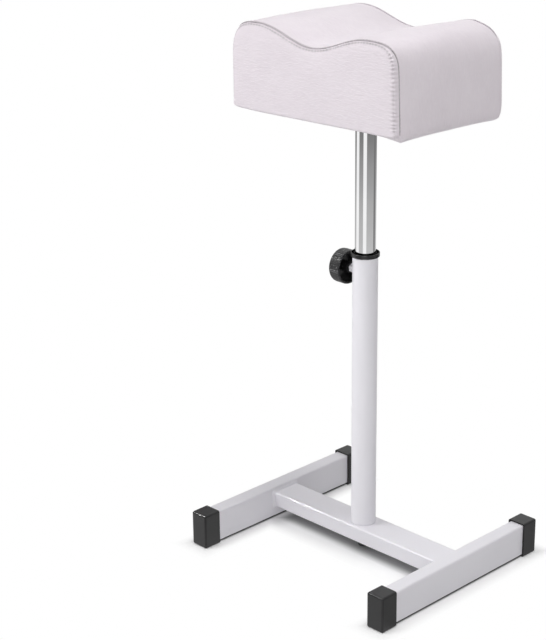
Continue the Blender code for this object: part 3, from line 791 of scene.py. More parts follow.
@dataclass
class BaseFrame:
    """H base: two runners on boots, the crossbar between them, and the bolt under the post."""

    wall: float = 0.0015
    corner: float = 0.003
    cut_edge: float = 0.0003
    boot_wall: float = 0.0024
    boot_edge: float = 0.0030
    weld_leg: float = 0.0032
    weld_pitch: float = 0.0030
    weld_ripple: float = 0.00018
    weld_bulge: float = 0.12
    weld_wall: float = 0.4
    long_cuts: int = 24
    short_cuts: int = 2
    bolt_radius: float = 0.005
    bolt_hole_gap: float = 0.0003
    socket_flats: float = 0.008
    socket_depth: float = 0.005
    knurl_depth: float = 0.0003
    knurl_inset: float = 0.0001

    def build(self, palette: Palette) -> None:
        """Make and dress every piece of the base.

        Args:
            palette: finishes of the rest.
        """
        for side in ("left", "right"):
            node = f"{side}_runner"
            runner = self.tube(f"runner_{side}", node, Axis.Y)
            dress(runner, palette.base_paint_shaded_copy, "white_paint", Body.BASE, node)
            for end in ("front", "rear"):
                self.boot(side, end, palette)
        bar = self.tube("cross_tube", "crossbar", Axis.X)
        hole = self.bolt_radius + self.bolt_hole_gap
        box = Box.of("crossbar")
        cutter = add_drum("bolt_hole", hole, box.low.z - self.wall, box.high.z + self.wall, SMALL_ROUND)
        cut_away(bar, cutter)
        dress(bar, palette.base_paint_shaded_copy, "white_paint", Body.BASE, "crossbar")
        for side, name in ((-1, "left"), (1, "right")):
            dress(self.weld(side, name), palette.base_paint_shaded_copy, "white_paint", Body.BASE)
        self.bolt(palette)

    def tube(self, name: str, node: str, axis: Axis) -> Piece:
        """Shape a rectangular tube: a block, its ends opened, its long edges rounded, given a wall.

        Args:
            name: name of the piece.
            node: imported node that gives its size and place.
            axis: direction that it runs in.

        Returns:
            The tube.
        """
        box = Box.of(node)
        tube = add_block(name, box.low, box.high)
        with editing(tube):
            open_faces(tube, lambda face: abs(face.normal[axis.value]) > FACING)
            bevel_edges(tube, lambda edge: edge_runs(edge, axis), self.corner)
        give_wall(tube, self.wall)
        round_edges(tube, self.cut_edge, steps=2, angle=TUBE_ANGLE)
        return tube

    def boot(self, side: str, end: str, palette: Palette) -> None:
        """Mould one boot: a rounded block, opened towards the runner and hollowed.

        Args:
            side: left or right.
            end: front or rear.
            palette: finishes of the rest.
        """
        node = f"{side}_{end}_cap"
        box = Box.of(node)
        outward = -1 if end == "front" else 1
        boot = add_block(f"boot_{side}_{end}", box.low, box.high)
        mouth = box.high.y if outward < 0 else box.low.y
        with editing(boot):
            open_faces(boot, lambda face: face.normal.y * outward < -FACING)
            bevel_edges(boot, lambda edge: not edge_at(edge, Axis.Y, mouth), self.boot_edge, steps=5)
        give_wall(boot, self.boot_wall)
        round_edges(boot, self.cut_edge, steps=2, angle=TUBE_ANGLE)
        dress(boot, palette.plastic, "black_plastic", Body.BASE, node)

    def weld(self, side: int, name: str) -> Piece:
        """Lay the fillet weld round one end of the crossbar.

        Args:
            side: -1 for the left end, 1 for the right.
            name: word for the side.

        Returns:
            The weld bead.
        """
        bar = Box.of("crossbar")
        runner = Box.of(f"{name}_runner")
        face = runner.high.x if side < 0 else runner.low.x
        start = face - side * self.weld_leg
        low = Vector((min(face, start), bar.low.y, bar.low.z))
        high = Vector((max(face, start), bar.high.y, bar.high.z))
        bead = add_block(f"weld_{name}", low, high)
        with editing(bead):
            open_faces(bead, lambda item: abs(item.normal.x) > FACING)
            bevel_edges(bead, lambda edge: edge_runs(edge, Axis.X), self.corner)
            pick_edges(bead, lambda edge: edge_at(edge, Axis.X, face))
            spread_y = 1.0 + 2.0 * self.weld_leg / bar.size.y
            spread_z = 1.0 + 2.0 * self.weld_leg / bar.size.z
            bpy.ops.transform.resize(value=(1.0, spread_y, spread_z))
            pick_edges(bead, lambda edge: edge.calc_length() > self.weld_pitch * 2.0)
            bpy.ops.mesh.subdivide(number_cuts=self.long_cuts)
            pick_edges(bead, lambda edge: not any(edge_at(edge, Axis.X, rim) for rim in (face, start)))
            bpy.ops.mesh.subdivide(number_cuts=self.short_cuts)
        middle = bar.middle
        for point in bead.data.vertices:
            share = abs(point.co.x - start) / self.weld_leg
            bulge = math.sin(math.pi * share)
            round_it = Vector((0.0, point.co.y - middle.y, point.co.z - middle.z))
            path = point.co.y if abs(round_it.y) / bar.size.y < abs(round_it.z) / bar.size.z else point.co.z
            ripple = math.sin(math.tau * path / self.weld_pitch)
            lift = bulge * (self.weld_bulge * self.weld_leg + self.weld_ripple * ripple)
            point.co += (round_it.normalized() - Vector((side, 0.0, 0.0))) * lift
        use_modifier(bead, "SOLIDIFY", thickness=self.weld_leg * self.weld_wall, offset=-1.0)
        face_out(bead)
        return bead

    def bolt(self, palette: Palette) -> None:
        """Make the socket screw under the crossbar and its two washers.

        Args:
            palette: finishes of the rest.
        """
        box = Box.of("base_bolt")
        head_radius = box.size.x / 2.0
        spring = Box.of("spring_washer")
        head_top = spring.low.z - self.cut_edge
        sides = 2 * SMALL_ROUND
        bolt = add_drum("socket_screw", head_radius, box.low.z, head_top, sides)
        with editing(bolt):
            pick_faces(bolt, lambda face: face.normal.z > FACING)
            draw_out(head_radius - self.bolt_radius, box.high.z - head_top)
            bpy.ops.mesh.bevel(offset=self.cut_edge * 2.0, segments=2, affect="EDGES")
            rim = head_top - self.knurl_depth
            pick_faces(bolt, lambda face: self.is_knurl(face, rim, sides))
            bpy.ops.mesh.inset(thickness=self.knurl_inset, depth=-self.knurl_depth)
        cut_socket(bolt, self.socket_flats, box.low.z, self.socket_depth, (0.0, 0.0, 0.0))
        round_edges(bolt, self.cut_edge, steps=2, angle=HEAD_ANGLE)
        dress(bolt, palette.black_steel, "black_steel", Body.BASE, "base_bolt")

        for name, node in (("flat_washer", "base_washer"), ("lock_washer", "spring_washer")):
            box = Box.of(node)
            bore = self.bolt_radius + self.bolt_hole_gap
            ring = add_ring(name, bore, box.size.x / 2.0, box.low.z, box.high.z, SMALL_ROUND, self.cut_edge)
            if node == "spring_washer":
                low = Vector((bore / 2.0, -self.cut_edge * 2.0, box.low.z - OVERCUT))
                high = Vector((box.high.x + OVERCUT, self.cut_edge * 2.0, box.high.z + OVERCUT))
                cut_away(ring, add_block("split", low, high))
            dress(ring, palette.black_steel, "black_steel", Body.BASE, node)

    @staticmethod
    def is_knurl(face: Face, top: float, sides: int) -> bool:
        """Say whether a face is one of the sunk flats round the screw's head.

        Args:
            face: a face of the screw.
            top: highest middle of such a flat.
            sides: number of flats round the head.

        Returns:
            True for every other flat.
        """
        middle = face.calc_center_median()
        if abs(face.normal.z) > 1.0 - FACING or middle.z > top:
            return False
        turn = math.atan2(middle.y, middle.x) / math.tau * sides
        return math.floor(turn) % 2 == 0


@dataclass
class Post:
    """Painted post with the clamp's nut and the black collar in its mouth."""

    wall: float = 0.0015
    rim: float = 0.0004
    stud_radius: float = 0.004
    thread_gap: float = 0.0003
    bore_reach: float = 3.0
    nut_edge: float = 0.0005
    nut_angle: float = 35.0
    nut_taper: float = 0.0026
    weld_radius: float = 0.0100
    weld_reach: float = 0.0032
    weld_sink: float = 0.8
    weld_taper: float = 0.96
    weld_edge: float = 0.3
    weld_gap: float = 0.0001
    lip: float = 0.0007
    dish: float = 0.0046
    dish_profile: float = 0.18
    rim_near: float = 5e-5

    def build(self, palette: Palette) -> None:
        """Make and dress the post, the nut and the collar.

        Args:
            palette: finishes of the rest.
        """
        box = Box.of("post_tube")
        radius = box.size.x / 2.0
        post = add_ring("post", radius - self.wall, radius, box.low.z, box.high.z, FINE_ROUND, self.rim)
        nut_box = Box.of("clamp_nut")
        axis_point = (0.0, 0.0, nut_box.middle.z)
        hole = self.stud_radius + self.thread_gap
        bore_from_left(post, hole, self.bore_reach * radius, axis_point)
        dress(post, palette.paint, "white_paint", Body.BASE, "post_tube")

        corner = nut_box.size.z / 2.0
        nut = add_drum("hex_nut", corner, nut_box.low.x, nut_box.high.x, HEXAGON, Axis.X, axis_point)
        with editing(nut):
            bpy.ops.mesh.select_all(action="SELECT")
            bpy.ops.transform.rotate(value=math.pi / HEXAGON, orient_axis="X", center_override=nut_box.middle)
            bevel_edges(nut, lambda edge: edge_at(edge, Axis.X, nut_box.low.x), self.nut_taper, steps=2)
        cut_away(nut, add_drum("saddle", radius + self.thread_gap, box.low.z, box.high.z, FINE_ROUND))
        bore_from_left(nut, hole, self.bore_reach * radius, axis_point)
        round_edges(nut, self.nut_edge, angle=self.nut_angle)
        dress(nut, palette.paint, "white_paint", Body.BASE, "clamp_nut")
        dress(self.nut_weld(radius, corner, axis_point), palette.paint, "white_paint", Body.BASE)
        dress(self.collar(radius), palette.gloss_plastic, "black_plastic", Body.BASE, "collar_bush")

    def nut_weld(self, radius: float, corner: float, axis_point: Triple) -> Piece:
        """Lay the weld that flares from the nut to the post.

        Args:
            radius: radius of the post.
            corner: radius of the nut's corners.
            axis_point: a point on the clamp's axis.

        Returns:
            The weld, cut to the post's round.
        """
        outer = -radius - self.weld_reach
        inner = -radius * self.weld_sink
        weld = add_drum("nut_weld", self.weld_radius, outer, inner, SMALL_ROUND, Axis.X, axis_point)
        with editing(weld):
            pick_edges(weld, lambda edge: edge_at(edge, Axis.X, outer))
            taper = corner * self.weld_taper / self.weld_radius
            bpy.ops.transform.resize(value=(1.0, taper, taper), center_override=axis_point)
            bpy.ops.mesh.bevel(offset=self.weld_reach * self.weld_edge, segments=3, affect="EDGES")
        low, high = axis_point[2] - 2.0 * self.weld_radius, axis_point[2] + 2.0 * self.weld_radius
        cut_away(weld, add_drum("weld_saddle", radius + self.weld_gap, low, high, FINE_ROUND))
        bore_from_left(weld, self.stud_radius + self.thread_gap, self.bore_reach * radius, axis_point)
        return weld

    def collar(self, post_radius: float) -> Piece:
        """Shape the flanged bush: a sleeve whose top is drawn out into a rounded lip.

        Args:
            post_radius: radius of the post.

        Returns:
            The collar.
        """
        box = Box.of("collar_bush")
        mast_radius = Box.of("inner_tube").size.x / 2.0
        bore = mast_radius + self.thread_gap
        sleeve = post_radius - self.wall - self.thread_gap
        flange = box.size.x / 2.0
        seat = Box.of("post_tube").high.z + self.thread_gap
        collar = add_drum("collar", sleeve, box.low.z, box.high.z, FINE_ROUND, filled=False)
        give_wall(collar, sleeve - bore)
        with editing(collar):
            bpy.ops.mesh.select_all(action="SELECT")
            bpy.ops.mesh.bisect(plane_co=(0.0, 0.0, seat), plane_no=(0.0, 0.0, 1.0))
            pick_faces(collar, lambda face: self.faces_out(face) and face.calc_center_median().z > seat)
            bpy.ops.mesh.extrude_region_move()
            bpy.ops.transform.resize(value=(flange / sleeve, flange / sleeve, 1.0))
            bevel_edges(collar, lambda edge: self.on_rim(edge, flange), self.lip)
            bevel_edges(
                collar, lambda edge: self.on_rim(edge, bore) and edge_at(edge, Axis.Z, box.high.z),
                self.dish, profile=self.dish_profile,
            )
        return collar

    @staticmethod
    def faces_out(face: Face) -> bool:
        """Say whether a face looks away from the axis of the post."""
        middle = face.calc_center_median()
        return face.normal.x * middle.x + face.normal.y * middle.y > 0.5 * math.hypot(middle.x, middle.y)

    def on_rim(self, edge: Edge, radius: float) -> bool:
        """Say whether an edge runs round the axis at a radius.

        Args:
            edge: an edge of the collar.
            radius: radius of the rim.

        Returns:
            True for an edge of that rim.
        """
        if edge_runs(edge, Axis.Z):
            return False
        return all(abs(point.co.xy.length - radius) < self.rim_near for point in edge.verts)


@dataclass
class Mast:
    """Chromed tube, the plate welded on its top, and the screws up into the board."""

    wall: float = 0.0015
    rim: float = 0.0004
    plate_corner: float = 0.010
    plate_edge: float = 0.0005
    weld_leg: float = 0.003
    weld_cuts: int = 3
    weld_hollow: float = 1.6
    weld_wall: float = 0.3
    ripples: float = 40.0
    ripple: float = 0.06
    hole_gap: float = 0.0004
    screw_radius: float = 0.003
    head_round: float = 0.0022
    key_flats: float = 0.004
    key_depth: float = 0.0022

    def build(self, palette: Palette) -> None:
        """Make and dress the mast, the plate, its weld and its screws.

        Args:
            palette: finishes of the rest.
        """
        box = Box.of("inner_tube")
        radius = box.size.x / 2.0
        bore = radius - self.wall
        tube = add_ring("chrome_tube", bore, radius, box.low.z, box.high.z, FINE_ROUND, self.rim)
        dress(tube, palette.chrome, "chrome", Body.MAST, "inner_tube")

        plate_box = Box.of("mount_plate")
        plate = add_block("top_plate", plate_box.low, plate_box.high)
        with editing(plate):
            bevel_edges(plate, lambda edge: edge_runs(edge, Axis.Z), self.plate_corner, steps=10)
        drill(plate, "plate_screw", self.screw_radius + self.hole_gap, plate_box)
        round_edges(plate, self.plate_edge, steps=2, angle=HEAD_ANGLE)
        dress(plate, palette.paint, "white_paint", Body.MAST, "mount_plate")
        dress(self.plate_weld(radius, box.high.z), palette.paint, "white_paint", Body.MAST)

        first = self.screw(Box.of("plate_screw_1"))
        start = Box.of("plate_screw_1").middle
        for number in SCREWS[1:]:
            node = f"plate_screw_{number}"
            twin = copy_of(first, f"button_screw_{number}", Box.of(node).middle - start)
            dress(twin, palette.zinc, "zinc_steel", Body.MAST, node)
        dress(first, palette.zinc, "zinc_steel", Body.MAST, "plate_screw_1")

    def plate_weld(self, radius: float, top: float) -> Piece:
        """Lay the fillet weld between the mast and the plate.

        Args:
            radius: radius of the mast.
            top: height of the mast's upper end.

        Returns:
            The weld bead.
        """
        bead = add_drum("weld_plate", radius, top - self.weld_leg, top, FINE_ROUND, filled=False)
        with editing(bead):
            pick_edges(bead, lambda edge: edge_runs(edge, Axis.Z))
            bpy.ops.mesh.subdivide(number_cuts=self.weld_cuts)
        for point in bead.data.vertices:
            share = clamped((point.co.z - top) / self.weld_leg + 1.0)
            ripple = 1.0 + self.ripple * math.sin(self.ripples * math.atan2(point.co.y, point.co.x))
            spread = 1.0 + self.weld_leg * share ** self.weld_hollow * ripple / radius
            point.co.x *= spread
            point.co.y *= spread
        use_modifier(bead, "SOLIDIFY", thickness=self.weld_leg * self.weld_wall, offset=-1.0)
        return bead

    def screw(self, box: Box) -> Piece:
        """Turn one button-head screw with its hexagon socket.

        Args:
            box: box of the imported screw.

        Returns:
            The screw.
        """
        head = box.size.x / 2.0
        head_top = Box.of("mount_plate").low.z - self.hole_gap
        centre = (box.middle.x, box.middle.y, 0.0)
        screw = add_drum("button_screw_1", head, box.low.z, head_top, SMALL_ROUND, centre=centre)
        with editing(screw):
            pick_faces(screw, lambda face: face.normal.z > FACING)
            draw_out(head - self.screw_radius, box.high.z - head_top)
            bevel_edges(screw, lambda edge: edge_at(edge, Axis.Z, box.low.z), self.head_round)
        cut_socket(screw, self.key_flats, box.low.z, self.key_depth, centre)
        return screw


@dataclass
class ClampKnob:
    """Ribbed knob, hollow towards the post, on its stud."""

    ribs: int = 48
    lands: int = 6
    land_ribs: float = 1.0
    first_land: float = 21.25
    flats_per_rib: int = 6
    rib_depth: float = 0.0005
    rib_slope: float = 0.00030
    ridge_width: float = 0.0008
    ridge_height: float = 0.0003
    ridge_turn: float = 2.9
    edge: float = 0.0030
    edge_steps: int = 6
    rim_wall: float = 0.0030
    end_wall: float = 0.0060
    hub_radius: float = 0.0085
    hub_proud: float = 0.0016
    bore_radius: float = 0.0043
    bore_depth: float = 0.0140
    crown: float = 0.0015
    crown_rings: int = 5
    small_edge: float = 0.00035
    side_tilt: float = 0.05

    def build(self, palette: Palette) -> None:
        """Make and dress the knob and its ridges, modelled upright and laid along the clamp's axis.

        Args:
            palette: finishes of the rest.
        """
        box = Box.of("knob")
        radius = box.size.z / 2.0
        hub_face = -box.high.x
        rim_face = hub_face + self.hub_proud
        end = -box.low.x - self.crown
        knob = add_drum("ribbed_knob", radius, rim_face, end, self.ribs * self.flats_per_rib)
        self.shape_front(knob, radius, rim_face, end)
        self.hollow_back(knob, radius, rim_face, end)
        round_edges(knob, self.small_edge, steps=2, angle=HEAD_ANGLE)
        ridges = self.ridges(radius, rim_face, end - self.edge)
        for piece in (knob, ridges):
            piece.rotation_euler = (0.0, math.radians(-90.0), 0.0)
            piece.location = (0.0, 0.0, box.middle.z)
            settled(piece, piece.name)
        dress(knob, palette.gloss_plastic, "black_plastic", Body.KNOB, "knob")
        dress(ridges, palette.glint_plastic, "black_plastic", Body.KNOB)

    def ridges(self, radius: float, low: float, high: float) -> Piece:
        """Lay a slim ridge along both edges of each land, paler to paint the glint on its edges.

        Args:
            radius: radius of the knob.
            low: place of the rim's back, measured along the clamp's axis.
            high: place where the rim's front edge starts.

        Returns:
            The ridges, upright.
        """
        half = self.ridge_width / 2.0
        low_corner = Vector((radius - self.ridge_height, -half, low + self.small_edge))
        first = add_block("ridge", low_corner, Vector((radius + self.ridge_height, half, high)))
        round_edges(first, self.ridge_height / 2.0, steps=2)
        middle = self.first_land + 180.0 * self.land_ribs / self.ribs
        spots = []
        for number in range(self.lands):
            for side in (-1, 1):
                turn = middle + number * 360.0 / self.lands + side * self.ridge_turn
                spots.append((Vector(), math.radians(turn)))
        return joined_copies(first, "knob_ridges", spots)

    def shape_front(self, knob: Piece, radius: float, rim_face: float, end: float) -> None:
        """Round the outer edge, raise the low crown and sink the grooves, with a land after each group.

        Args:
            knob: the knob, upright.
            radius: its radius.
            rim_face: height of the rim's back.
            end: height where the crown starts.
        """
        with editing(knob):
            bevel_edges(knob, lambda edge: edge_at(edge, Axis.Z, end), self.edge, self.edge_steps)
            flat = radius - self.edge
            pick_faces(knob, lambda face: face.normal.z > ALIGNED and len(face.verts) > self.ribs)
            step = flat / (self.crown_rings + 1)
            height = 0.0
            for ring in range(1, self.crown_rings + 1):
                rise = self.crown * (1.0 - (1.0 - ring / self.crown_rings) ** 2)
                bpy.ops.mesh.inset(thickness=step)
                bpy.ops.transform.translate(value=(0.0, 0.0, rise - height))
                height = rise
            pick_faces(knob, lambda face: self.is_groove(face, rim_face, end))
            bpy.ops.mesh.inset(thickness=self.rib_slope, depth=-self.rib_depth)

    def is_groove(self, face: Face, rim_face: float, end: float) -> bool:
        """Say whether a side face lies in a groove between two ribs.

        Args:
            face: a face of the knob.
            rim_face: height of the rim's back.
            end: height where the crown starts.

        Returns:
            True for a face to sink.
        """
        middle = face.calc_center_median()
        if abs(face.normal.z) > self.side_tilt or not rim_face < middle.z < end - self.edge:
            return False
        turn = (math.atan2(middle.y, middle.x) / math.tau - self.first_land / 360.0) % 1.0
        rib = turn * self.ribs
        if rib % (self.ribs / self.lands) < self.land_ribs:
            return False
        return (rib % 1.0) * self.flats_per_rib < self.flats_per_rib / 2.0

    def hollow_back(self, knob: Piece, radius: float, rim_face: float, end: float) -> None:
        """Sink the back between rim and hub, and bore the hub for the stud.

        Args:
            knob: the knob, upright.
            radius: its radius.
            rim_face: height of the rim's back.
            end: height where the crown starts.
        """
        depth = end - self.end_wall - rim_face
        moves = (
            (self.rim_wall, depth),
            (radius - self.rim_wall - self.hub_radius, -depth - self.hub_proud),
            (self.hub_radius - self.bore_radius, self.bore_depth),
        )
        with editing(knob):
            pick_faces(knob, lambda face: face.normal.z < -ALIGNED and len(face.verts) > self.ribs)
            for inset, travel in moves:
                draw_out(inset, travel)


@dataclass
class Cushion:
    """Sewn cushion: a strip over the ends and the wave, two side panels, and the flaps under the board."""

    hump_spacing: float = 0.212
    valley_depth: float = 0.0232
    shoulder_width: float = 0.0525
    shoulder_drop: float = 0.054
    squareness: Pair = (2.75, 3.5)
    shoulder_split: float = 45.0
    side_height: float = 0.0685
    bottom_radius: float = 0.0035
    width: float = 0.223
    roll_inset: float = 0.0032
    roll_top: float = 0.0034
    roll_end: float = 0.0085
    side_crown: float = 0.0034
    top_crown: float = 0.0012
    panel_crown: float = 0.0006
    wave_steps: int = 200
    shoulder_steps: int = 120
    foot_steps: int = 60
    top_cells: int = 60
    side_cells: int = 24
    cross_cells: int = 42
    roll_cells: int = 3
    roll_flatness: float = 1.75
    roll_hold: float = 0.5
    pressure: float = 4.0
    swell_limit: float = 0.0018
    swell_frames: int = 20
    sewn_weight: float = 0.95
    seam_depth: float = 0.0016
    seam_width: float = 0.0019
    upright_width: float = 0.0007
    upright_line: float = 0.65
    seam_fade: float = 0.003
    seam_band: float = 0.0014
    strip_spread: float = 2.5
    roll_spread: float = 1.5
    seam_lip: float = 0.0007
    lip_reach: float = 0.0050
    panel_start: float = 0.0002
    stitch_place: float = 0.95
    stitch_depth: float = 0.0007
    stitch_width: float = 0.0014
    stitch_uneven: Triple = (0.85, 0.15, 0.3)
    # Painted shade along the fold at the topstitch, less on upright stretches.
    stitch_painted_shade: float = 0.58
    upright_stitch: float = 0.4
    # Painted shade on the rolled band between the seam and the topstitch.
    band_painted_shade: float = 0.06
    wander_scale: float = 60.0
    wander_seed: float = 3.0
    wander_turn: float = 4.0
    pucker_height: float = 0.0013
    pucker_pitch: float = 0.0056
    pucker_reach: float = 0.0035
    pucker_far: float = 4.0
    pucker_bias: float = 0.7
    level_pucker: float = 0.25
    loose_pucker: float = 0.18
    # Share of the seams' painted shade kept along the rear seam.
    rear_painted_shade_share: float = 0.45
    strip_share: float = 0.25
    hang: tuple[float, float, float, float] = (0.0, 0.0010, 0.0010, 0.0040)
    hang_reach: float = 0.024
    corner_hang: float = 0.0028
    least_hang: float = 0.3
    strip_edge: float = 0.006
    panel_lift: Pair = (-0.0028, 0.0033)
    corner_lift: float = 0.0015
    corner_focus: float = 2.2
    lean: Pair = (0.0025, -0.037)
    lean_from: float = 0.6
    lean_top: float = 0.090
    left_reach: float = 0.0015
    top_tilt: Pair = (0.018, -0.008)
    tilt_from: float = -0.022
    rear_sag: float = 0.011
    twist: float = -0.85
    forward: float = -0.0010
    rear_round: Pair = (0.023, 0.021)
    front_round: Pair = (0.017, 0.004)
    round_fade: float = 3.0
    flap: float = 0.022
    flap_thickness: float = 0.0013
    flap_slope: float = 0.0004
    flap_margin: float = 0.002

    def __post_init__(self) -> None:
        """Work out the places that follow from the sizes and the imported nodes."""
        self.bottom = Box.of("cover_strip").low.z
        self.half_length = self.hump_spacing / 2.0 + self.shoulder_width
        self.height = self.bottom_radius + self.side_height + self.shoulder_drop
        self.seam_y = self.width / 2.0 - self.roll_top
        self.loop_cells = 2 * (self.top_cells + self.side_cells)

    def build(self, palette: Palette) -> None:
        """Make, swell, sew and dress the cover.

        Args:
            palette: finishes of the rest.
        """
        cover = self.blank()
        self.swell(cover)
        use_modifier(cover, "SUBSURF", levels=1, render_levels=1)
        self.sew(cover)
        self.tuck_under(cover)
        face_out(cover)
        nodes = ("cover_strip", "front_panel", "rear_panel", "foam_block")
        dress(cover, palette.leatherette, "white_leatherette", Body.MAST, *nodes)
        activate(cover)
        bpy.ops.object.shade_smooth()

    def half_top(self, squareness: float) -> list[Vector]:
        """Outline from the middle of the valley to the middle of a shoulder at the right.

        Args:
            squareness: squareness of the shoulder.

        Returns:
            Places along it.
        """
        crest = self.hump_spacing / 2.0
        half_depth = self.valley_depth / 2.0
        points = []
        for step in range(self.wave_steps):
            x = crest * step / self.wave_steps
            points.append(Vector((x, self.height - half_depth * (1.0 + math.cos(math.pi * x / crest)))))
        return points + self.shoulder(squareness, 0.0, self.shoulder_split)

    def half_side(self, squareness: float) -> list[Vector]:
        """Outline from the middle of that shoulder down and round to the underside.

        Args:
            squareness: squareness of the shoulder.

        Returns:
            Places along it.
        """
        points = self.shoulder(squareness, self.shoulder_split, 90.0)
        for step in range(self.foot_steps + 1):
            angle = math.radians(90.0 * step / self.foot_steps)
            x = self.half_length - self.bottom_radius * (1.0 - math.cos(angle))
            points.append(Vector((x, self.bottom_radius * (1.0 - math.sin(angle)))))
        return points

    def shoulder(self, squareness: float, start: float, end: float) -> list[Vector]:
        """Stretch of the squared round at an end, between two angles in degrees.

        Args:
            squareness: 2 for a round shoulder, more for a squarer one.
            start: first angle, 0 at the crest.
            end: last angle, 90 at the end.

        Returns:
            Places along it.
        """
        power = 2.0 / squareness
        points = []
        for step in range(self.shoulder_steps + 1):
            angle = math.radians(between(start, end, step / self.shoulder_steps))
            x = self.hump_spacing / 2.0 + self.shoulder_width * math.sin(angle) ** power
            drop = self.shoulder_drop * (1.0 - abs(math.cos(angle)) ** power)
            points.append(Vector((x, self.height - drop)))
        return points

    @staticmethod
    def evenly(points: list[Vector], cells: int) -> list[Vector]:
        """Spread places evenly along a line of points.

        Args:
            points: the line.
            cells: number of equal stretches.

        Returns:
            One more place than there are stretches, with the line's own ends.
        """
        walked = [0.0]
        for first, second in zip(points, points[1:]):
            walked.append(walked[-1] + (second - first).length)
        places = []
        index = 0
        for cell in range(cells + 1):
            goal = walked[-1] * cell / cells
            while index < len(points) - 2 and walked[index + 1] < goal:
                index += 1
            length = max(walked[index + 1] - walked[index], LEAST_LENGTH)
            places.append(points[index].lerp(points[index + 1], (goal - walked[index]) / length))
        return places

    def loop(self) -> list[Vector]:
        """Closed outline: up the left end, over the wave, down the right end, back underneath.

        Returns:
            Places spread evenly along each stretch.
        """
        halves = []
        for squareness in self.squareness:
            top = self.evenly(self.half_top(squareness), self.top_cells // 2)
            halves.append((top, self.evenly(self.half_side(squareness), self.side_cells)))
        left_top, left_side = ([Vector((-at.x, at.y)) for at in reversed(half)] for half in halves[0])
        top, side = halves[1]
        under = self.evenly([side[-1], left_side[0]], self.top_cells)
        return left_side[:-1] + left_top[:-1] + top[:-1] + side[:-1] + under[:-1]

    def blank(self) -> Piece:
        """Make the closed form with its UV map in metres and its sewing marks.

        Returns:
            The form, before it is swelled.
        """
        outline = self.loop()
        count = self.loop_cells
        out = []
        for i in range(count):
            along = (outline[(i + 1) % count] - outline[i - 1]).normalized()
            out.append(Vector((-along.y, along.x)))
        walked = [0.0]
        for i in range(count):
            walked.append(walked[-1] + (outline[(i + 1) % count] - outline[i]).length)

        rows = self.rows()
        points = []
        for across, angle in rows:
            full = max(0.0, 1.0 - across * across)
            inset = self.roll_inset * (1.0 - max(0.0, math.cos(angle)) ** self.roll_flatness)
            for place, normal in zip(outline, out):
                rise = clamped((place.y - self.bottom_radius) / self.side_height)
                crown = self.side_crown * abs(normal.x) + self.top_crown * abs(normal.y)
                moved = place + normal * (crown * full * math.sin(math.pi / 2.0 * rise) - inset)
                points.append(Vector((moved.x, self.row_y(across, angle, normal), self.bottom + moved.y)))

        faces = []
        corners = []
        for row in range(len(rows) - 1):
            rolled = rows[row][1] or rows[row + 1][1]
            for i in range(count):
                j = (i + 1) % count
                faces.append((row * count + i, row * count + j, (row + 1) * count + j, (row + 1) * count + i))
                for at, step in ((row, 0), (row, 1), (row + 1, 1), (row + 1, 0)):
                    k = (i + step) % count
                    across, angle = rows[at]
                    if rolled:
                        laid = self.roll_reach(out[k]) * (math.pi / 2.0 - angle)
                        corners.append(tuple(outline[k] + out[k] * (laid - self.roll_inset)))
                    else:
                        corners.append((walked[i + step], self.row_y(across, angle, out[k])))
        for row, side in ((0, -1), (len(rows) - 1, 1)):
            self.panel(points, faces, corners, row, side)

        mesh = bpy.data.meshes.new("cushion_cover")
        mesh.from_pydata(points, [], faces)
        layer = mesh.uv_layers.new(name="cut")
        for item, corner in zip(layer.data, corners):
            item.uv = corner
        cover = bpy.data.objects.new("cushion_cover", mesh)
        bpy.context.scene.collection.objects.link(cover)
        self.mark(cover, rows)
        face_out(cover)
        return cover

    def roll_reach(self, normal: Vector) -> float:
        """Reach of the rolled edge along Y: tight over the wave, wide down the ends."""
        return between(self.roll_top, self.roll_end, normal.x * normal.x)

    def row_y(self, across: float, angle: float, normal: Vector) -> float:
        """Place along Y of a row's point.

        Args:
            across: place on the strip, -1 and 1 at its seams.
            angle: turn round the rolled edge, 0 at the seam.
            normal: way that the outline faces there.

        Returns:
            The place along Y.
        """
        reach = self.roll_reach(normal)
        rolled = math.copysign(reach * math.sin(angle) ** self.roll_flatness, across)
        return across * (self.width / 2.0 - reach) + rolled

    def rows(self) -> list[Pair]:
        """Rows across the cushion: place on the strip from -1 to 1, and turn round the rolled edge.

        Returns:
            Place and turn of each row, from front to rear.
        """
        turns = [math.radians(90.0 * step / self.roll_cells) for step in range(1, self.roll_cells + 1)]
        strip = [(2.0 * step / self.cross_cells - 1.0, 0.0) for step in range(self.cross_cells + 1)]
        return [(-1.0, angle) for angle in reversed(turns)] + strip + [(1.0, angle) for angle in turns]

    def panel(self, points: list, faces: list, corners: list, row: int, side: int) -> None:
        """Fill one end of the form with a grid between its four edges.

        Args:
            points: places so far, which grow.
            faces: faces so far, which grow.
            corners: UV corners so far, which grow.
            row: row of points that the panel joins.
            side: -1 for the front panel, 1 for the rear.
        """
        across, up = self.top_cells, self.side_cells
        start = row * self.loop_cells
        grid = [[0] * (up + 1) for _ in range(across + 1)]
        for j in range(up + 1):
            grid[0][j] = start + j
            grid[across][j] = start + up + across + (up - j)
        for i in range(across + 1):
            grid[i][up] = start + up + i
            grid[i][0] = start + (2 * up + 2 * across - i) % self.loop_cells
        for i in range(1, across):
            u = i / across
            for j in range(1, up):
                v = j / up
                edges = points[grid[i][0]] * (1.0 - v) + points[grid[i][up]] * v
                edges = edges + points[grid[0][j]] * (1.0 - u) + points[grid[across][j]] * u
                ends = points[grid[0][0]] * (1.0 - u) + points[grid[across][0]] * u
                tops = points[grid[0][up]] * (1.0 - u) + points[grid[across][up]] * u
                place = edges - ends * (1.0 - v) - tops * v
                full = (1.0 - (2.0 * u - 1.0) ** 4) * (1.0 - (2.0 * v - 1.0) ** 4)
                place.y += side * self.panel_crown * full
                grid[i][j] = len(points)
                points.append(place)
        for i in range(across):
            for j in range(up):
                face = (grid[i][j], grid[i + 1][j], grid[i + 1][j + 1], grid[i][j + 1])
                faces.append(face)
                corners.extend((points[k].x, points[k].z - self.bottom) for k in face)

